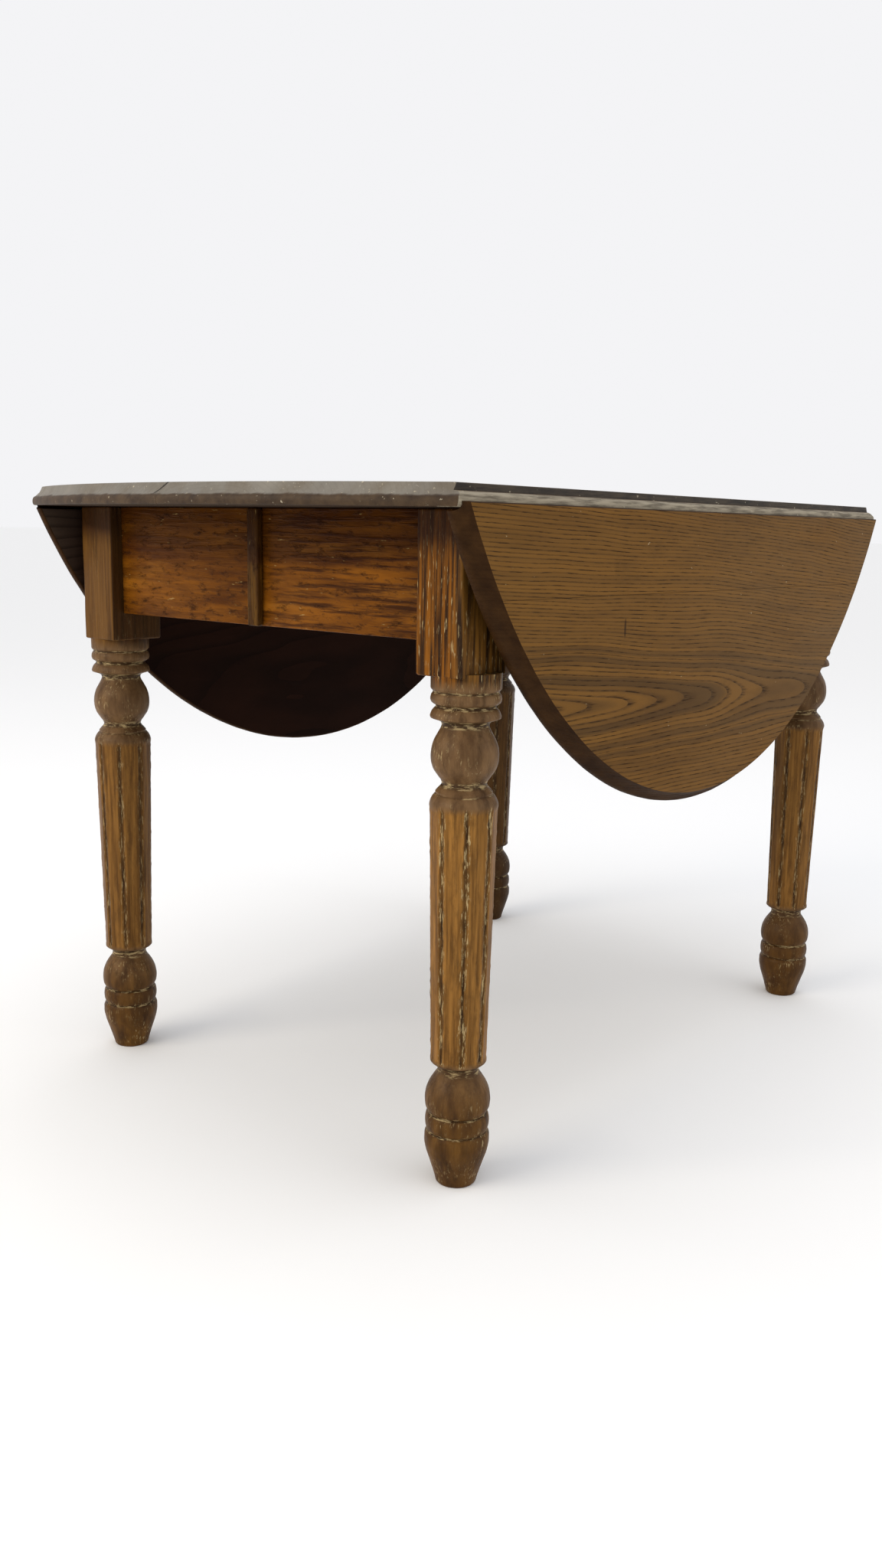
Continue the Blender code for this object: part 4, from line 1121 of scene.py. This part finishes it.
def build_table():
    ash_leaf, ash_top, leg_finish = leaf_ash(), top_ash(), leg_wood()
    end_varnish = apron_varnish("crazed_amber_varnish_end", "YXZ")
    side_varnish = apron_varnish("crazed_amber_varnish_side", "XYZ")
    batten_varnish = apron_varnish("crazed_amber_varnish_batten", "ZXY", "#5a3d15", "#2e1a08")
    runner_oil = apron_varnish("oiled_runner_wood", "YXZ", "#6b4a22", "#4a3014")
    underside = grimy_underside()
    pine, iron = raw_pine(), old_iron()

    top = top_board("top_front")
    for name, board in (("top_front", top), ("top_back", turned_copy(top, "top_back"))):
        paint_sides(board, Vector((0, 0, 1)))
        dress(shade(board, 28), ash_top, "frame", name.replace("top_", "top_board_"))
        line_underside(board, underside)
    for part in ("inner_board", "outer_board"):
        front = leaf_board("ash_leaf_front_" + part, part == "outer_board")
        back = turned_copy(front, "ash_leaf_back_" + part)
        for side, board, outward in (("front", front, -1), ("back", back, 1)):
            paint_sides(board, Vector((0, outward, 0)))
            dress(shade(board, 28), ash_leaf, "leaf_" + side, f"leaf_{side}_{part}")
            line_underside(board, underside)

    turning = turning_tree()
    corners = (("a_front", -1, -1), ("a_back", -1, 1), ("b_front", 1, -1), ("b_back", 1, 1))
    for seed, (label, sign_x, sign_y) in enumerate(corners, start=1):
        dress(leg(label, sign_x, sign_y, turning, leg_finish, seed), leg_finish, "frame", "leg_" + label)
        square_piece("varnished", "end_apron_" + label, END_APRON_WEAR, end_varnish)
        square_piece("pine", "glue_block_" + label, GLUE_BLOCK_WEAR, pine)
    for end in "ab":
        square_piece("varnished", "batten_" + end, BATTEN_WEAR, batten_varnish)
    for side in ("front", "back"):
        square_piece("varnished", "side_apron_" + side, SIDE_APRON_WEAR, side_varnish)
        square_piece("pine", "glue_block_" + side, GLUE_BLOCK_WEAR, pine)
        for i in (1, 2):
            square_piece("pine", f"slide_guide_{side}_{i}", GUIDE_WEAR, pine)
            square_piece("oiled", f"slide_{side}_{i}", RUNNER_WEAR, runner_oil, f"slide_{side}_{i}")
            square_piece("oiled", f"bearer_{side}_{i}", RUNNER_WEAR, runner_oil, "leaf_" + side)
        for i in (1, 2, 3):
            for piece in ("fixed_flap", "leaf_flap", "pin"):
                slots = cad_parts[f"hinge_{side}_{i}_{piece}"].data.materials
                slots.clear()
                slots.append(iron)

    heads = screw_tree()
    flap_face = PIN_Z + PLATE_TOP - PLATE_THICK
    hung_face = -PIN_Y - (PLATE_TOP - PLATE_THICK)
    for side, sign in (("front", 1), ("back", -1)):
        fixed = [
            (x + dx, sign * (-PIN_Y + reach), flap_face)
            for x in HINGE_X for dx, reach in FIXED_SCREWS
        ]
        hung = [
            (x + dx, sign * hung_face, PIN_Z - reach)
            for x in HINGE_X for dx, reach in LEAF_SCREWS
        ]
        dress(screws(f"screws_{side}_top", fixed, math.pi, heads, iron, 3), iron, "frame")
        dress(screws(f"screws_{side}_leaf", hung, -sign * math.pi / 2, heads, iron, 5), iron, "leaf_" + side)


# ---------------------------------------------------------------- floor, light and camera


def build_stage():
    bm = bmesh.new()
    bmesh.ops.create_grid(bm, x_segments=1, y_segments=1, size=FLOOR_SIZE)
    floor = object_of("floor", mesh_of("floor", bm, outward=False))
    # Matt paint, so that the floor shows soft shadows and no shine
    pale, _, shader = finish_of("pale_floor", 0.9)
    shader.inputs["Base Color"].default_value = linear("#fafaf9")
    floor.data.materials.append(pale)

    world = bpy.data.worlds.new("soft_room")
    bpy.context.scene.world = world
    world.use_nodes = True
    background = world.node_tree.nodes["Background"]
    background.inputs["Color"].default_value = linear("#fdfdff")
    background.inputs["Strength"].default_value = ROOM_LIGHT

    for name, place, aim, size, power, tint in (
        ("window_strip", (-3.6, 1.1, 2.02), (-0.43, 0.0, 0.66), (2.4, 0.35), 62.0, "#fff4e2"),
        ("room_fill", (0.6, -3.6, 1.6), (0.0, -0.35, 0.5), (3.0, 2.0), 16.0, "#ffffff"),
        ("ceiling", (0.0, 0.0, 3.2), (0.0, 0.0, 0.0), (2.5, 2.5), 14.0, "#e6eeff"),
    ):
        light = bpy.data.lights.new(name, "AREA")
        light.shape = "RECTANGLE"
        light.size, light.size_y = size
        light.energy = power
        light.color = linear(tint)[:3]
        lamp = bpy.data.objects.new(name, light)
        lamp.location = place
        lamp.rotation_euler = (Vector(aim) - Vector(place)).to_track_quat("-Z", "Y").to_euler()
        bpy.context.scene.collection.objects.link(lamp)


def build_camera():
    yaw, pitch, roll = (math.radians(turn) for turn in CAMERA_TURNS)
    ahead = Vector((math.sin(yaw) * math.cos(pitch), math.cos(yaw) * math.cos(pitch), -math.sin(pitch)))
    right = Vector((math.cos(yaw), -math.sin(yaw), 0.0))
    up = right.cross(ahead)
    tilted_right = math.cos(roll) * right + math.sin(roll) * up
    tilted_up = math.cos(roll) * up - math.sin(roll) * right
    turn = Matrix((tilted_right, tilted_up, -ahead)).transposed().to_4x4()
    data = bpy.data.cameras.new("camera")
    data.sensor_width = 36.0
    data.lens = CAMERA_LENS
    camera = bpy.data.objects.new("camera", data)
    camera.matrix_world = Matrix.Translation(CAMERA_PLACE) @ turn
    bpy.context.scene.collection.objects.link(camera)
    bpy.context.scene.camera = camera


bpy.context.scene.view_settings.view_transform = "Standard"
build_camera()
build_stage()
build_table()
bpy.context.view_layer.update()
